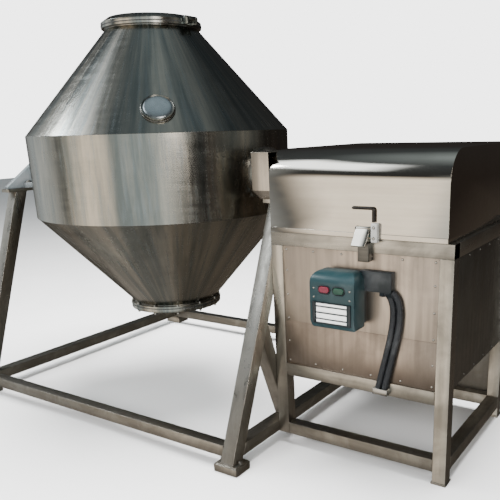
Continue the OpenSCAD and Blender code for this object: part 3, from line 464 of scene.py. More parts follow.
def plastic(name, colour, rough):
    """Moulded plastic with a fine grain and dusty places."""
    material, tree, shader, place = start_material(name)
    soiled = group_node(tree, SOIL, place, Spread=0.2)
    dust = tuple(0.6 * c + 0.12 for c in colour)
    shade = mix_colour(tree, math_node(tree, "MULTIPLY", soiled.outputs["Soil"], 0.4), colour, dust)
    tree.links.new(shade, shader.inputs["Base Color"])
    skin = noise_node(tree, place, 700.0, 2.0)
    dull = range_node(tree, skin, 0.3, 0.7, rough - 0.05, rough + 0.1)
    tree.links.new(dull, shader.inputs["Roughness"])
    add_bump(tree, shader, skin, 0.1 * MM)
    return material


TAN = (0.62, 0.585, 0.53)
DARK_TAN = (0.43, 0.40, 0.355)
ALONG_X = (0.05, 1.0, 1.0)
ALONG_Y = (1.0, 0.05, 1.0)
ALONG_Z = (1.0, 1.0, 0.05)
NO_GRAIN = (1.0, 1.0, 1.0)
tube_x = brushed_steel("tube steel along x", TAN, DARK_TAN, 0.22, 0.36, ALONG_X, 0.55)
tube_y = brushed_steel("tube steel along y", TAN, DARK_TAN, 0.22, 0.36, ALONG_Y, 0.55)
tube_z = brushed_steel("tube steel upright", TAN, DARK_TAN, 0.20, 0.34, ALONG_Z, 0.45)
panel_warm = brushed_steel("front panel steel", (0.66, 0.565, 0.49), (0.50, 0.42, 0.36),
                           0.30, 0.46, ALONG_Z, 0.25)
# Painted shade: a darker copy of the panel steel for the side and back sheets, which face away from
# the light.
panel_painted_shade = brushed_steel("side panel steel painted shade", (0.36, 0.345, 0.32), (0.24, 0.23, 0.215),
                           0.28, 0.42, ALONG_Z, 0.4)
cover_polish = brushed_steel("cover polished steel", (0.78, 0.73, 0.66), (0.66, 0.61, 0.54),
                             0.07, 0.13, ALONG_X, 0.12, 0.00001)
guard_steel = brushed_steel("guard steel", (0.58, 0.52, 0.46), (0.42, 0.38, 0.33),
                            0.22, 0.34, ALONG_Z, 0.3)
machined = brushed_steel("machined steel", (0.60, 0.59, 0.57), (0.47, 0.46, 0.44),
                         0.18, 0.30, ALONG_X, 0.3)
dark_steel = brushed_steel("darkened steel", (0.26, 0.25, 0.235), (0.15, 0.145, 0.135),
                           0.28, 0.42, ALONG_X, 0.5)
weld_steel = brushed_steel("weld steel", (0.50, 0.46, 0.41), (0.30, 0.27, 0.24),
                           0.30, 0.48, NO_GRAIN, 0.4)
vessel_polish = vessel_steel()
vessel_weld = brushed_steel("vessel weld steel", (0.34, 0.33, 0.31), (0.20, 0.19, 0.18),
                            0.26, 0.42, NO_GRAIN, 0.3)
# Bright polished steel whose bluish tint is a painted reflection of the bluish highlight on the
# cone.
port_polish_bluish_reflection = brushed_steel("sight port steel bluish reflection", (0.72, 0.78, 0.82), (0.60, 0.66, 0.70),
                            0.22, 0.32, NO_GRAIN, 0.1)
# Painted reflection: a darker, browner copy of the front panel steel, standing in for the darker
# reflection low on the panel.
panel_painted_dark_reflection = brushed_steel("front foot painted reflection steel", (0.52, 0.43, 0.37), (0.38, 0.31, 0.265),
                            0.28, 0.44, ALONG_Z, 0.35)
hook_black = brushed_steel("hook steel", (0.10, 0.09, 0.085), (0.05, 0.045, 0.04),
                           0.35, 0.5, NO_GRAIN, 0.4)
cast_grey = painted("latch casting", (0.30, 0.295, 0.28), 0.45, 0.0003)
bearing_paint = painted("bearing casting", (0.085, 0.10, 0.105), 0.42, 0.0004)
drive_paint = painted("drive paint", (0.05, 0.11, 0.17), 0.34)
belt_rubber = plastic("belt rubber", (0.018, 0.018, 0.018), 0.7)
conduit_black = plastic("conduit black", (0.012, 0.013, 0.015), 0.42)
starter_green = plastic("starter green", (0.007, 0.024, 0.028), 0.33)
starter_dark = plastic("starter dark", (0.006, 0.009, 0.011), 0.36)
button_green = plastic("button green", (0.008, 0.035, 0.022), 0.32)
button_red = plastic("button maroon", (0.11, 0.010, 0.022), 0.32)
strip_white = plastic("strip white", (0.78, 0.78, 0.76), 0.4)


# The CAD nodes with their edges rounded

FINISH = {
    "base_cross_rails": (tube_x, 0.004), "base_side_rails": (tube_y, 0.004),
    "left_front_leg": (tube_z, 0.004), "left_rear_leg": (tube_z, 0.004),
    "right_front_leg": (tube_z, 0.004), "right_rear_leg": (tube_z, 0.004),
    "knee_brace": (tube_z, 0.003), "bearing_seats": (tube_y, 0.0015),
    "left_bearing": (bearing_paint, 0.002), "right_bearing": (bearing_paint, 0.002),
    "bearing_bolts": (machined, 0.0008), "bearing_guard": (guard_steel, 0.0008),
    "front_posts": (tube_z, 0.003), "back_posts": (tube_z, 0.003),
    "low_cross_rails": (tube_x, 0.003), "low_side_rail": (tube_y, 0.003),
    "panel_rail": (tube_x, 0.003), "top_cross_rails": (tube_x, 0.003),
    "top_side_rails": (tube_y, 0.003), "front_panel": (panel_warm, 0.0005),
    "side_panels": (panel_painted_shade, 0.0005), "back_panel": (panel_painted_shade, 0.0005),
    "cover_end_plate": (guard_steel, 0.0005), "drive_shelf": (tube_x, 0.001),
    "gearbox_beams": (tube_x, 0.003), "gearbox": (drive_paint, 0.002),
    "motor_cowl": (drive_paint, 0.0005), "cowl_grille": (drive_paint, 0.0003),
    "starter_box": (starter_dark, 0.003),
    "starter_cover": (starter_green, 0.005), "conduit_clip": (machined, 0.002),
    "cover_hinges": (machined, 0.0008), "latch_keeper": (dark_steel, 0.0015),
    "left_trunnion": (machined, 0.002), "right_trunnion": (machined, 0.002),
    "shaft_coupling": (bearing_paint, 0.0015), "sight_port": (vessel_polish, 0.0015),
    "lid_ears": (vessel_polish, 0.001), "discharge_plate": (vessel_polish, 0.002),
    "valve_body": (machined, 0.0015), "charging_lid": (vessel_polish, 0.003),
    "valve_disc": (machined, 0.001), "valve_lever": (machined, 0.0015),
    "drive_cover": (cover_polish, 0.0007),
    "latch_hinge": (dark_steel, 0.0008), "latch_flap": (cover_polish, 0.0008),
    "start_button": (button_green, 0.0015), "stop_button": (button_red, 0.0015),
}
BARE = {
    "upper_cone": vessel_polish, "vessel_belt": vessel_polish, "lower_cone": vessel_polish,
    "motor": drive_paint, "v_belt": belt_rubber, "conduits": conduit_black,
    "worm_shaft": machined, "motor_rotor": machined, "cover_hook": dark_steel,
}
BRACE_WIDER = 7 * MM  # the photograph's knee brace is as wide as the leg
for part, (finish, edge_width) in FINISH.items():
    dressed(part, finish, edge_width, wider=BRACE_WIDER if part == "knee_brace" else 0.0)
for part, finish in BARE.items():
    frame["nodes"][part].data.materials.clear()
    frame["nodes"][part].data.materials.append(finish)


# Small parts that the solids leave out

def heads(name, spots, axis, rings, material, body, sides=18):
    """Screw or bolt heads: at every spot the rings (radius, height) are stacked along the axis and
    closed by a point. A radius may be an array with one value for each side, as for a hexagon."""
    u, v, w = square_axes(axis)
    a = np.linspace(0, 2 * np.pi, sides, endpoint=False)
    rows = [(np.zeros(sides), rings[0][1])]
    rows += [(np.broadcast_to(radius, sides), height) for radius, height in rings]
    rows.append((np.zeros(sides), rings[-1][1]))
    unit = np.array([
        np.cos(a)[:, None] * r[:, None] * u + np.sin(a)[:, None] * r[:, None] * v + h * w
        for r, h in rows
    ])
    count = len(rows) * sides
    points = (np.array(spots, float)[:, None, None, :] + unit[None]).reshape(-1, 3)
    base = np.array(grid_faces(len(rows), sides, False, True))
    faces = (base[None] + count * np.arange(len(spots))[:, None, None]).reshape(-1, 4).tolist()
    return place_on(mesh_piece(name, points, faces, material, 35), body)


def hexagon(across, sides=18):
    """The radius of a hexagon at each side: half its width across flats over the cosine of the
    angle from the middle of the flat."""
    a = np.linspace(0, 2 * np.pi, sides, endpoint=False)
    return across / 2 / np.cos((a + np.pi / 6) % (np.pi / 3) - np.pi / 6)


def hex_bolts(name, spots, axis, across, material, body):
    """Hexagon heads on washers, from their width across flats."""
    washer_r, washer_t, head, crown_r = 0.62 * across, 1.6 * MM, 0.55 * across, 0.44 * across
    rings = [(washer_r, 0.0), (washer_r, washer_t), (hexagon(across), washer_t),
             (hexagon(across), washer_t + 0.85 * head), (crown_r, washer_t + head)]
    return heads(name, spots, axis, rings, material, body)


def screws(name, spots, axis, radius, material, body):
    """Round screw heads, a low dome each."""
    dome_shares = ((1.0, 0.0), (1.0, 0.25), (0.8, 0.5), (0.4, 0.62))
    rings = [(out * radius, up * radius) for out, up in dome_shares]
    return heads(name, spots, axis, rings, material, body, 12)


def welds(name, paths, thick, material, body, closed=False):
    """Weld beads along paths: a small ring is carried along each, and its size swells and shrinks
    in waves, with its two ends drawn to a point unless the path closes."""
    step, wave, swell = 1.4 * MM, 4 * MM, 0.16
    all_points, all_faces = [], []
    ring = ring_outline(1.0, 7)
    for path in paths:
        path = np.asarray(path, float)
        last = path[:1] if closed else path[-1:]
        legs = np.linalg.norm(np.diff(path, axis=0, append=last), axis=1)
        where = np.concatenate([[0], np.cumsum(legs[:len(path) - 1])])
        rows = max(8, int(where[-1] / step))
        steps = np.linspace(0, where[-1], rows)
        line = np.stack([np.interp(steps, where, path[:, k]) for k in range(3)], 1)
        sizes = thick * (1 + swell * np.cos(2 * np.pi * steps / wave))
        if not closed:
            ends = np.minimum(steps, steps[-1] - steps)
            sizes = sizes * np.sqrt(np.clip(ends / (2 * thick), 0, 1))
        points = sweep_points(line, ring, sizes)
        start = sum(len(p) for p in all_points)
        all_points.append(points.reshape(-1, 3))
        all_faces += (np.array(grid_faces(rows, len(ring), False, True)) + start).tolist()
    piece = mesh_piece(name, np.concatenate(all_points), all_faces, material, 180)
    return place_on(piece, body)


def rectangle(x, y, z):
    """A closed path round a rectangle that is flat along the axis whose range is one number."""
    if not isinstance(x, tuple):
        return [(x, y[i], z[j]) for i, j in ((0, 0), (1, 0), (1, 1), (0, 1), (0, 0))]
    if not isinstance(y, tuple):
        return [(x[i], y, z[j]) for i, j in ((0, 0), (1, 0), (1, 1), (0, 1), (0, 0))]
    return [(x[i], y[j], z) for i, j in ((0, 0), (1, 0), (1, 1), (0, 1), (0, 0))]


def prism(name, outline, axis, low, high, material, edge, body):
    """A plate: an outline in the plane square to the axis, x, y or z, carried from low to high,
    with rounded edges."""
    outline = np.asarray(outline, float)
    order = {"x": (2, 0, 1), "y": (0, 2, 1), "z": (0, 1, 2)}[axis]
    rows = []
    for end in (low, high):
        flat = np.column_stack([outline, np.full(len(outline), end)])
        rows.append(flat[:, order])
    count = len(outline)
    faces = grid_faces(2, count, False, True)
    faces += [list(range(count)), list(range(count, 2 * count))]
    piece = mesh_piece(name, np.concatenate(rows), faces, material, 30)
    round_edges(piece, edge)
    return place_on(piece, body)


def rounded(points, radius, steps=6):
    """A path whose corners are eased: near a corner it follows the curve
    (1 - t)^2 a + 2 t (1 - t) corner + t^2 b between the two points that lie radius away from it."""
    points = [np.array(p, float) for p in points]
    line = [points[0]]
    for before, corner, after in zip(points[:-2], points[1:-1], points[2:]):
        a = corner + (before - corner) / np.linalg.norm(before - corner) * radius
        b = corner + (after - corner) / np.linalg.norm(after - corner) * radius
        line += [(1 - t) ** 2 * a + 2 * t * (1 - t) * corner + t ** 2 * b
                 for t in np.linspace(0, 1, steps)]
    return np.array(line + [points[-1]])


# The vessel's small parts

CENTRE = (SHAFT.x, SHAFT.y, 0.0)
UP = (0, 0, 1)
DOWN = (0, 0, -1)
RIM_R = (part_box("discharge_plate")[1].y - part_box("discharge_plate")[0].y) / 2
RIM = 12 * MM  # how far the flanges reach outside the necks
FLANGE_T = 8 * MM
NECK_R = RIM_R - RIM


def vessel_part(piece):
    """Makes a piece ride on the vessel."""
    place_on(piece, "vessel")


def seam_welds():
    """Weld beads sunk into the belt's two edges, and beads under the two flanges."""
    thick, sunk = 1.5 * MM, 1.6 * MM
    off_face = FLANGE_T + 1 * MM
    for name, radius, height in (
        ("upper_seam_weld", BELT_R - sunk, BELT_TOP),
        ("lower_seam_weld", BELT_R - sunk, BELT_FOOT),
        ("upper_neck_weld", NECK_R, CONE_TOP - off_face),
        ("lower_neck_weld", NECK_R, CONE_FOOT + off_face),
    ):
        vessel_part(bead(name, radius, height, thick, CENTRE, UP, vessel_weld, 900, 300, 0.16))


def flange_parts():
    """The gaskets on both flanges, and the outlet's bolts and nuts."""
    inner, outer, under, over = RIM_R - 6 * MM, RIM_R + 1.2 * MM, -1.2 * MM, 1.4 * MM
    gasket = [(inner, under), (outer, under), (outer, over), (inner, over)]
    for name, height in (("lid_gasket", CONE_TOP), ("outlet_gasket", CONE_FOOT)):
        middle = (SHAFT.x, SHAFT.y, height)
        vessel_part(turned(name, gasket, middle, UP, belt_rubber, 144))
    a = np.radians(np.arange(15, 360, 30))
    x = SHAFT.x + (RIM_R - RIM / 2) * np.cos(a)
    y = SHAFT.y + (RIM_R - RIM / 2) * np.sin(a)
    plate_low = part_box("discharge_plate")[0].z
    for name, height, axis in (("outlet_bolts", plate_low, DOWN),
                               ("outlet_nuts", CONE_FOOT + FLANGE_T, UP)):
        spots = np.column_stack([x, y, np.full(len(a), height)])
        hex_bolts(name, spots, axis, 9 * MM, machined, "vessel")


def sight_parts():
    """The sight port's polished cover, a low dome square to the cone, and a weld round its foot."""
    turn, up_by = math.radians(44), 212 * MM
    neck_h, lift, rim_h, dome_h = 12 * MM, 6.5 * MM, 2.2 * MM, 5 * MM
    slope = math.atan2(BELT_R - NECK_R, CONE_TOP - neck_h - BELT_TOP)
    out = np.array([math.sin(turn), -math.cos(turn), 0.0])
    radius = BELT_R - (SHAFT.z + up_by - BELT_TOP) * math.tan(slope)
    spot = np.array([SHAFT.x, SHAFT.y, SHAFT.z + up_by]) + radius * out
    normal = math.cos(slope) * out + np.array([0, 0, math.sin(slope)])
    low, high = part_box("sight_port")
    size = (high - low).length * 0.33
    dome = [(0.0, 0.0), (size * 0.86, 0.0), (size * 0.86, rim_h)]
    dome += [(size * 0.84 * math.cos(t), rim_h + dome_h * math.sin(t))
             for t in np.linspace(0.1, math.pi / 2, 9)]
    vessel_part(turned("sight_cover", dome, spot + normal * lift, normal, port_polish_bluish_reflection, 72, 50))
    vessel_part(bead("sight_weld", size * 1.02, 1 * MM, 1.6 * MM, spot, normal, vessel_weld,
                     300, 90, 0.16))


def shell_welds():
    """A saddle weld round each hub, and the sheet's seam down the vessel's back."""
    a = np.linspace(0, 2 * np.pi, 200)
    low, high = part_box("left_trunnion")
    hub_r = (high.z - low.z) / 2
    y, z = hub_r * np.cos(a), hub_r * np.sin(a)
    reach = np.sqrt(BELT_R ** 2 - y ** 2)
    saddles = [np.column_stack([SHAFT.x + side * reach, SHAFT.y + y, SHAFT.z + z])
               for side in (-1, 1)]
    welds("hub_welds", saddles, 2.2 * MM, vessel_weld, "vessel", True)

    seam, neck_h = math.radians(118), 10 * MM
    out = np.array([math.cos(seam), math.sin(seam), 0.0])
    profile = [(NECK_R, CONE_TOP - neck_h), (BELT_R, BELT_TOP), (BELT_R, BELT_FOOT),
               (NECK_R, CONE_FOOT + neck_h)]
    corners = [np.array(CENTRE) + r * out + [0, 0, z] for r, z in profile]
    runs = list(zip(corners[:-1], corners[1:]))
    welds("shell_seam", runs, 1.2 * MM, vessel_weld, "vessel")


def clasp_parts():
    """The lid's clasp, opposite its hinge: a foot under the flange and a wire loop over the lid."""
    x = SHAFT.x - RIM_R
    half, top, bottom = 16 * MM, CONE_TOP - 9 * MM, CONE_TOP - 30 * MM
    foot = block("clasp_foot", (x - 16 * MM, SHAFT.y - half, bottom),
                 (x + 1 * MM, SHAFT.y + half, top), machined, 2 * MM)
    vessel_part(foot)
    wire_x, half, bottom, arch, rise = x - 10 * MM, 10 * MM, CONE_TOP - 20 * MM, 10 * MM, 6 * MM
    loop = [(wire_x, SHAFT.y - half, bottom)]
    loop += [(wire_x, SHAFT.y - half * math.cos(t), CONE_TOP + arch + rise * math.sin(t))
             for t in np.linspace(0, np.pi, 14)]
    loop += [(wire_x, SHAFT.y + half, bottom)]
    vessel_part(swept("clasp_loop", loop, ring_outline(2.2 * MM, 10), dark_steel))


# The stand's small parts

def leg_joints():
    """Paths for the welds at each leg's foot and head, and the places of the anchor bolts."""
    half, slant, foot_in, pad_t, bolt_out = 25 * MM, 26.8 * MM, 36 * MM, 30 * MM, 36 * MM
    paths, anchors = [], []
    for node in ("left_front_leg", "left_rear_leg", "right_front_leg", "right_rear_leg"):
        low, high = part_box(node)
        x = (low.x + high.x) / 2
        in_front = abs(low.y - SHAFT.y) > abs(high.y - SHAFT.y)
        foot = low.y + foot_in if in_front else high.y - foot_in
        head = high.y - slant if in_front else low.y + slant
        for y, z in ((foot, pad_t), (head, high.z - 1 * MM)):
            paths.append(rectangle((x - half, x + half), (y - slant, y + slant), z))
        anchors += [(x - bolt_out, foot, pad_t), (x + bolt_out, foot, pad_t)]
    return paths, anchors


def rail_ends(node, width, inset):
    """Paths for the welds at both ends of a node's one or two rails along x."""
    low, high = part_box(node)
    rows = [(low.y, low.y + width)]
    if high.y - low.y > 2 * width:
        rows.append((high.y - width, high.y))
    return [rectangle(x, y, (low.z, high.z)) for y in rows for x in (low.x + inset, high.x - inset)]


def frame_parts():
    """The frame's weld beads and the anchor bolts."""
    inset = 0.6 * MM
    paths, anchors = leg_joints()
    paths += rail_ends("base_cross_rails", 40 * MM, 1 * MM)
    paths += rail_ends("low_cross_rails", 42 * MM, inset)
    paths += rail_ends("panel_rail", 42 * MM, inset)
    low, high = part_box("low_side_rail")
    paths += [rectangle((low.x, high.x), y, (low.z, high.z))
              for y in (low.y + inset, high.y - inset)]
    welds("frame_welds", paths, 1.3 * MM, weld_steel, "stand")
    hex_bolts("anchor_bolts", anchors, UP, 14 * MM, machined, "stand")


def bearing_parts():
    """The shaft's collars beside the bearings, their grease nipples, and the left one's stays."""
    collar = MM * np.array([(30, 0), (41, 0), (43, 2), (43, 10), (41, 12), (30, 12)])
    nipple = MM * np.array([(0, -2), (4.5, -2), (4.5, 4), (2.8, 5), (2.8, 10), (3.6, 11), (3, 15),
                            (0, 16)])
    gap = 0.4 * MM
    for node in ("left_bearing", "right_bearing"):
        low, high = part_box(node)
        for name, x, side in (("_collar_a", low.x - gap, -1), ("_collar_b", high.x + gap, 1)):
            ring = turned(node + name, collar, (x, SHAFT.y, SHAFT.z), (side, 0, 0), machined, 64)
            vessel_part(ring)
        middle = ((low.x + high.x) / 2, SHAFT.y, high.z)
        place_on(turned(node + "_nipple", nipple, middle, UP, machined, 24), "stand")

    low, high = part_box("left_bearing")
    foot, middle, half = low.z, (low.x + high.x) / 2, 10 * MM
    side_view = ((196 * MM, foot), (196 * MM, foot + 10 * MM), (50 * MM, SHAFT.z + 40 * MM),
                 (50 * MM, foot + 30 * MM), (119 * MM, foot + 24 * MM), (120.5 * MM, foot))
    for name, side in (("front_stay", -1), ("rear_stay", 1)):
        outline = [(SHAFT.y + side * away, z) for away, z in side_view]
        prism("left_bearing_" + name, outline, "x", middle - half, middle + half, bearing_paint,
              2 * MM, "stand")


# The cabinet's small parts

def edge_screws(name, low, high, place, axis, all_round=True):
    """Screws round a sheet: six along its top and foot and, all round, four down each end. place
    makes a point of a place across the sheet and a height."""
    inset, count = 12 * MM, 6
    across = (low[0] + inset, high[0] - inset)
    spots = [place(a, z) for a in np.linspace(*across, count)
             for z in (low[1] + inset, high[1] - inset)]
    if all_round:
        spots += [place(a, z) for a in across for z in np.linspace(low[1], high[1], count)[1:-1]]
    screws(name, spots, axis, 3.8 * MM, machined, "stand")


def sheet_parts():
    """Screws round the cabinet's sheets, and a darker sheet along the front's foot that is a
    painted reflection.
    """
    low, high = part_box("front_panel")
    front = low.y
    edge_screws("front_panel_screws", (low.x, low.z), (high.x, high.z),
                lambda x, z: (x, front, z), (0, -1, 0))
    # Painted reflection: this darker sheet stands in for the darker reflection low on the polished
    # front panel.
    reflection_band = block("front_painted_reflection_band", (low.x, front - 1.2 * MM, low.z),
                  (high.x, front + 0.6 * MM, low.z + 148 * MM), panel_painted_dark_reflection, 0.4 * MM, 2)
    place_on(reflection_band, "stand")
    low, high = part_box("side_panels")
    right = high.x
    edge_screws("side_panel_screws", (low.y, low.z), (high.y, high.z),
                lambda y, z: (right, y, z), (1, 0, 0))
    low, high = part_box("back_panel")
    back = high.y
    edge_screws("back_panel_screws", (low.x, low.z), (high.x, high.z),
                lambda x, z: (x, back, z), (0, 1, 0), False)


def louvres():
    """Two columns of pressed louvres on the back sheet. For u and v from 0 to 1 a louvre's point
    lies width * u across, height * (1 - v) up, and stands out by
    rise * sqrt(sin(pi u)) * sin(pi v / 2). A shelf closes it underneath."""
    width, height, rise, proud, shut = 150 * MM, 18 * MM, 9 * MM, 0.2 * MM, 0.1 * MM
    rows, columns = 9, 25
    v, u = np.meshgrid(np.linspace(0, 1, rows), np.linspace(0, 1, columns), indexing="ij")
    bulge = rise * np.sin(np.pi * u) ** 0.5 * np.sin(np.pi * v / 2)
    low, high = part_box("back_panel")
    points, faces = [], []
    for x in (low.x + 90 * MM, (low.x + high.x) / 2 + 20 * MM):
        for z in np.linspace(low.z + 300 * MM, low.z + 500 * MM, 7):
            start = len(points) * (rows + 1) * columns
            hood = np.stack([x + width * u, high.y + bulge + proud, z + height * (1 - v)], -1)
            shelf = hood[-1:] * (1, 0, 1) + (0, high.y + shut, 0)
            points.append(np.concatenate([hood, shelf]).reshape(-1, 3))
            faces += (np.array(grid_faces(rows + 1, columns, False, False)) + start).tolist()
    piece = mesh_piece("back_louvres", np.concatenate(points), faces, panel_painted_shade, 40)
    place_on(piece, "stand")


def latch_parts():
    """The latch's cast body with its rivets, and the bent rod that stands in for the hook."""
    left, right = (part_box("latch_flap")[1].x + d for d in (4.5 * MM, 24.5 * MM))
    hook_low, hook_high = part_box("cover_hook")
    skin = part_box("drive_cover")[0].y
    front = skin - 17 * MM
    body = block("latch_body", (left, front, hook_low.z - 56 * MM),
                 (right, skin + 1.5 * MM, hook_low.z - 2 * MM), cast_grey, 3 * MM)
    place_on(body, "cover")
    rivets = [((left + right) / 2, front, hook_low.z - drop) for drop in (14 * MM, 44 * MM)]
    screws("latch_rivets", rivets, (0, -1, 0), 4.5 * MM, machined, "cover")
    half = 4 * MM
    left, right, near = hook_low.x + half, hook_high.x - half, hook_low.y + half
    top = hook_high.z - half
    path = [(left, hook_high.y + 0.5 * MM, top), (left, near, top), (right, near, top),
            (right, near, hook_low.z)]
    rod = swept("hook_rod", rounded(path, 6 * MM), ring_outline(4.4 * MM, 14), hook_black)
    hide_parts("cover_hook")
    place_on(rod, "cover")


# The starter's small parts

def starter_bar(name, x, z, proud, sunk, material, edge):
    """A bar on the starter's face, between two places in x and in z. It stands proud of the face
    and lies sunk in it."""
    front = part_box("starter_cover")[0].y
    bar = block(name, (x[0], front - proud, z[0]), (x[1], front + sunk, z[1]), material, edge, 2)
    place_on(bar, "stand")


def starter_parts():
    """The bare strips in their dark frame, the rims round the buttons, and the screws."""
    low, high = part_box("starter_cover")
    x, front, foot = (low.x + high.x) / 2, low.y, low.z + 20 * MM
    for k, (z0, z1) in enumerate(((0, 9), (12.5, 27.5), (31.5, 46.5), (50.5, 58))):
        starter_bar("strip_%d" % (k + 1), (x - 52 * MM, x + 50 * MM),
                    (foot + z0 * MM, foot + z1 * MM), 1.4 * MM, 0.6 * MM, strip_white, 0.6 * MM)
    for k, z in enumerate((-2, 10.8, 29.5, 48.5, 60.5)):
        starter_bar("strip_rib_%d" % (k + 1), (x - 62 * MM, x + 62 * MM),
                    (foot + (z - 1.5) * MM, foot + (z + 1.5) * MM), 4.2 * MM, 1 * MM,
                    starter_dark, 1 * MM)
    for k, x0 in enumerate((x - 64 * MM, x + 54 * MM)):
        starter_bar("strip_post_%d" % (k + 1), (x0, x0 + 10 * MM), (foot - 3 * MM, foot + 62 * MM),
                    4.4 * MM, 1 * MM, starter_dark, 1 * MM)
    t = np.linspace(0, 2 * np.pi, 64, endpoint=False)
    for node in ("start_button", "stop_button"):
        a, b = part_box(node)
        middle, half = (a + b) / 2, (b.z - a.z) / 2
        reach, half = (b.x - a.x) / 2 - half, half + 2.8 * MM
        oval = np.stack([middle.x + np.sign(np.cos(t)) * reach + half * np.cos(t),
                         np.full(64, front + 0.2 * MM), middle.z + half * np.sin(t)], 1)
        rim = swept(node + "_rim", oval, ring_outline(2.2 * MM, 10), starter_dark, True)
        place_on(rim, "stand")
    spots = [(x + side * 60 * MM, front + 0.6 * MM, low.z + up) for side in (-1, 1)
             for up in (95 * MM, 122 * MM)]
    screws("starter_screws", spots, (0, -1, 0), 3.5 * MM, machined, "stand")


def conduit_parts():
    """Two ribbed conduits from the starter's box to the clip, and a gland nut on each. For t from 0
    at the top to 1 at the foot, the middle line sways aside by
    thick * (1.8 sin(pi sqrt(t)) - t / 2) and steps forward by step_out * (1 - cos(pi t / 0.8)) / 2
    until t is 0.8."""
    low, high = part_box("conduits")
    thick, gap, step_out, rib, rows, sides = 20 * MM, 1 * MM, 6 * MM, 5.2 * MM, 520, 14
    t = np.linspace(0, 1, 330)
    sway = thick * (1.8 * np.sin(np.pi * np.sqrt(t)) - 0.5 * t)
    forward = step_out * (1 - np.cos(np.pi * np.minimum(1, t / 0.8))) / 2
    nut = MM * np.array([(0, 0), (12.5, 0), (12.5, -10), (11, -13), (0, -13)])
    for k, name in enumerate(("left_conduit", "right_conduit")):
        path = np.column_stack([
            low.x + thick + k * (thick + gap) + sway, high.y - thick / 2 - forward,
            high.z + (low.z - high.z) * t
        ])
        along = np.concatenate([[0], np.cumsum(np.linalg.norm(np.diff(path, axis=0), axis=1))])
        even = np.linspace(0, along[-1], rows)
        line = np.stack([np.interp(even, along, path[:, j]) for j in range(3)], 1)
        sizes = thick / 2 * (0.955 + 0.045 * np.cos(2 * np.pi * even / rib))
        points = sweep_points(line, ring_outline(1.0, sides), sizes)
        faces = grid_faces(rows, sides, False, True)
        faces += [list(range(sides)), [(rows - 1) * sides + j for j in range(sides)]]
        piece = mesh_piece(name, points.reshape(-1, 3), faces, conduit_black, 60)
        if k == 0:
            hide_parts("conduits")
        place_on(piece, "stand")
        top = (path[0][0] + 1 * MM, path[0][1], path[0][2])
        place_on(turned(name + "_gland", nut, top, UP, starter_dark, 6), "stand")


# The drive's small parts

def gearbox_parts():
    """The gearbox's cover bolts on both faces, its breather and its foot bolts."""
    low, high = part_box("gearbox")
    a = np.radians(np.arange(30, 390, 60))
    circle_r = 37 * MM
    for name, x, side in (("gearbox_bolts_left", low.x, -1), ("gearbox_bolts_right", high.x, 1)):
        spots = [(x, SHAFT.y + circle_r * math.cos(t), SHAFT.z + circle_r * math.sin(t)) for t in a]
        hex_bolts(name, spots, (side, 0, 0), 7 * MM, machined, "stand")
    breather = MM * np.array([(0, -4), (7, -4), (7, 2), (5, 3), (5, 6), (8, 7), (7, 11), (0, 12)])
    x = (low.x + high.x) / 2
    place_on(turned("gearbox_breather", breather, (x, SHAFT.y, high.z), UP, machined, 24),
             "stand")
    feet = [(x + side * 60 * MM, low.y + back, low.z + 12 * MM) for side in (-1, 1)
            for back in (12 * MM, 138 * MM)]
    hex_bolts("gearbox_foot_bolts", feet, UP, 10 * MM, machined, "stand")


for make_parts in (seam_welds, flange_parts, sight_parts, shell_welds, clasp_parts, frame_parts,
                   bearing_parts, sheet_parts, louvres, latch_parts, starter_parts, conduit_parts,
                   gearbox_parts):
    make_parts()


# Floor, light and camera

def make_floor():
    """A wide pale floor under the object."""
    reach = 14.0
    paint, tree, shader, place = start_material("floor paint")
    tone = range_node(tree, noise_node(tree, place, 2.0, 3.0), 0.3, 0.7)
    colour = mix_colour(tree, tone, (0.86, 0.855, 0.85), (0.90, 0.895, 0.89))
    tree.links.new(colour, shader.inputs["Base Color"])
    shader.inputs["Roughness"].default_value = 0.75
    corners = [(x * reach, y * reach, -1 * MM) for x, y in ((-1, -1), (1, -1), (1, 1), (-1, 1))]
    mesh = bpy.data.meshes.new("floor")
    mesh.from_pydata(corners, [], [(0, 1, 2, 3)])
    mesh.materials.append(paint)
    floor = bpy.data.objects.new("floor", mesh)
    bpy.context.scene.collection.objects.link(floor)
    floor.visible_glossy = False


DEGREES = 57.3  # in a radian


def window(tree, value, middle, half, soft):
    """One inside a range round middle, falling to nothing over soft on each side."""
    away = math_node(tree, "ABSOLUTE", math_node(tree, "SUBTRACT", value, middle))
    return range_node(tree, away, half, half + soft, 1.0, 0.0)


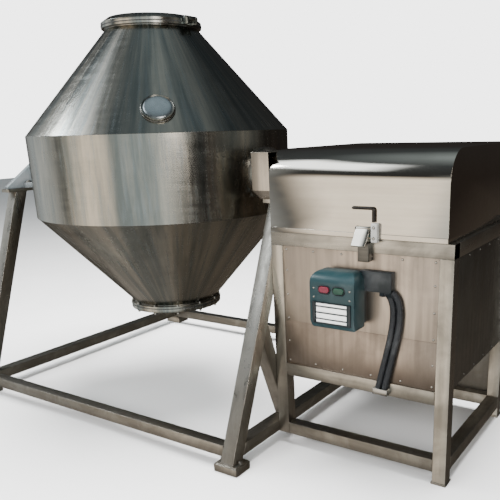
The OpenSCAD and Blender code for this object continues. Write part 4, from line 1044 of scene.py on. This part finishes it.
def make_world():
    """White to the camera. What the steel sees is a workshop: a bright window high at the left, a
    tan glow at eye level in front, a bluish one to its right, paler air at the left and the right,
    and a brown floor. Each is a patch in the direction's turn from the front and in its height,
    both in degrees: its middle, its half width and how softly it ends. The rest is a dim ceiling
    and dark walls, from the ground at 0 on the ramp to the zenith at 1."""
    world = bpy.data.worlds.new("studio")
    bpy.context.scene.world = world
    world.use_nodes = True
    tree = world.node_tree
    back = tree.nodes["Background"]
    direction = tree.nodes.new("ShaderNodeTexCoord").outputs["Generated"]
    split = tree.nodes.new("ShaderNodeSeparateXYZ")
    tree.links.new(direction, split.inputs[0])
    forward = math_node(tree, "MULTIPLY", split.outputs["Y"], -1.0)
    turn = math_node(tree, "ARCTAN2", split.outputs["X"], forward)
    turn = math_node(tree, "MULTIPLY", turn, DEGREES)
    height = math_node(tree, "ARCSINE", split.outputs["Z"])
    height = math_node(tree, "MULTIPLY", height, DEGREES)
    ramp = tree.nodes.new("ShaderNodeValToRGB")
    tree.links.new(range_node(tree, height, -90.0, 90.0), ramp.inputs[0])
    stops = [(0.0, (0.16, 0.145, 0.12)), (0.40, (0.09, 0.075, 0.06)), (0.48, (0.025, 0.02, 0.017)),
             (0.60, (0.035, 0.035, 0.035)), (0.80, (0.06, 0.07, 0.075)), (1.0, (0.36, 0.43, 0.45))]
    while len(ramp.color_ramp.elements) < len(stops):
        ramp.color_ramp.elements.new(0.5)
    for element, (where, colour) in zip(ramp.color_ramp.elements, stops):
        element.position = where
        element.color = (*colour, 1.0)
    seen = ramp.outputs[0]
    for colour, across, up in (
        ((3.0, 3.25, 3.4), (-54.0, 19.0, 13.0), (43.0, 7.0, 7.0)),
        ((1.7, 1.55, 1.32), (-22.0, 15.0, 12.0), (-7.0, 13.0, 12.0)),
        ((1.0, 1.08, 1.06), (26.0, 16.0, 20.0), (-2.0, 14.0, 14.0)),
        ((0.75, 0.80, 0.80), (-80.0, 12.0, 22.0), (0.0, 18.0, 14.0)),
        ((0.22, 0.22, 0.20), (112.0, 14.0, 14.0), (0.0, 20.0, 18.0)),
        ((0.40, 0.37, 0.33), (-80.0, 40.0, 30.0), (-62.0, 22.0, 14.0)),
    ):
        mask = math_node(tree, "MULTIPLY", window(tree, turn, *across), window(tree, height, *up))
        seen = mix_colour(tree, mask, seen, colour)
    camera_sees = tree.nodes.new("ShaderNodeLightPath").outputs["Is Camera Ray"]
    tree.links.new(mix_colour(tree, camera_sees, seen, (4.0, 4.0, 4.0)), back.inputs["Color"])
    back.inputs["Strength"].default_value = 1.0


def softbox(name, place, size, power, colour=(1.0, 1.0, 1.0), mirrored=True):
    """An area light that faces the vessel. One that isn't mirrored lights the floor and the paint
    without showing in the steel."""
    light = bpy.data.lights.new(name, "AREA")
    light.shape = "RECTANGLE"
    light.size, light.size_y = size
    light.energy = power
    light.color = colour
    lamp = bpy.data.objects.new(name, light)
    bpy.context.scene.collection.objects.link(lamp)
    lamp.location = place
    lamp.rotation_euler = (SHAFT - Vector(place)).to_track_quat("-Z", "Y").to_euler()
    lamp.visible_glossy = mirrored


def make_camera():
    """The photograph's camera: its place, turn, pitch and roll, and a shifted frame."""
    eye = SHAFT + Vector((1.7823, -1.8090, 1.0434 - SHAFT.z))
    turn, pitch, roll = (math.radians(a) for a in (32.55, 17.39, -1.632))
    level = math.cos(pitch)
    forward = Vector((-math.sin(turn) * level, math.cos(turn) * level, -math.sin(pitch)))
    right = Vector((math.cos(turn), math.sin(turn), 0.0))
    up = right.cross(forward)
    tilted_right = math.cos(roll) * right + math.sin(roll) * up
    tilted_up = -math.sin(roll) * right + math.cos(roll) * up
    lens = bpy.data.cameras.new("camera")
    lens.lens = 45.29
    lens.sensor_width = 36.0
    lens.shift_x = -0.1146
    lens.shift_y = 0.1496
    lens.clip_end = 60.0
    camera = bpy.data.objects.new("camera", lens)
    bpy.context.scene.collection.objects.link(camera)
    turned_axes = Matrix((tilted_right, tilted_up, -forward)).transposed()
    camera.matrix_world = Matrix.Translation(eye) @ turned_axes.to_4x4()
    bpy.context.scene.camera = camera


make_floor()
make_world()
softbox("key", (-2.3, -1.3, 2.75), (0.9, 0.5), 42.0, (0.92, 0.98, 1.0))
softbox("fill", (3.0, -2.4, 2.2), (1.2, 2.4), 40.0, (1.0, 0.95, 0.88))
softbox("top", (0.2, 0.4, 4.2), (3.2, 2.6), 900.0, mirrored=False)
softbox("front", (0.0, -4.6, 2.6), (4.0, 1.6), 300.0, mirrored=False)
make_camera()
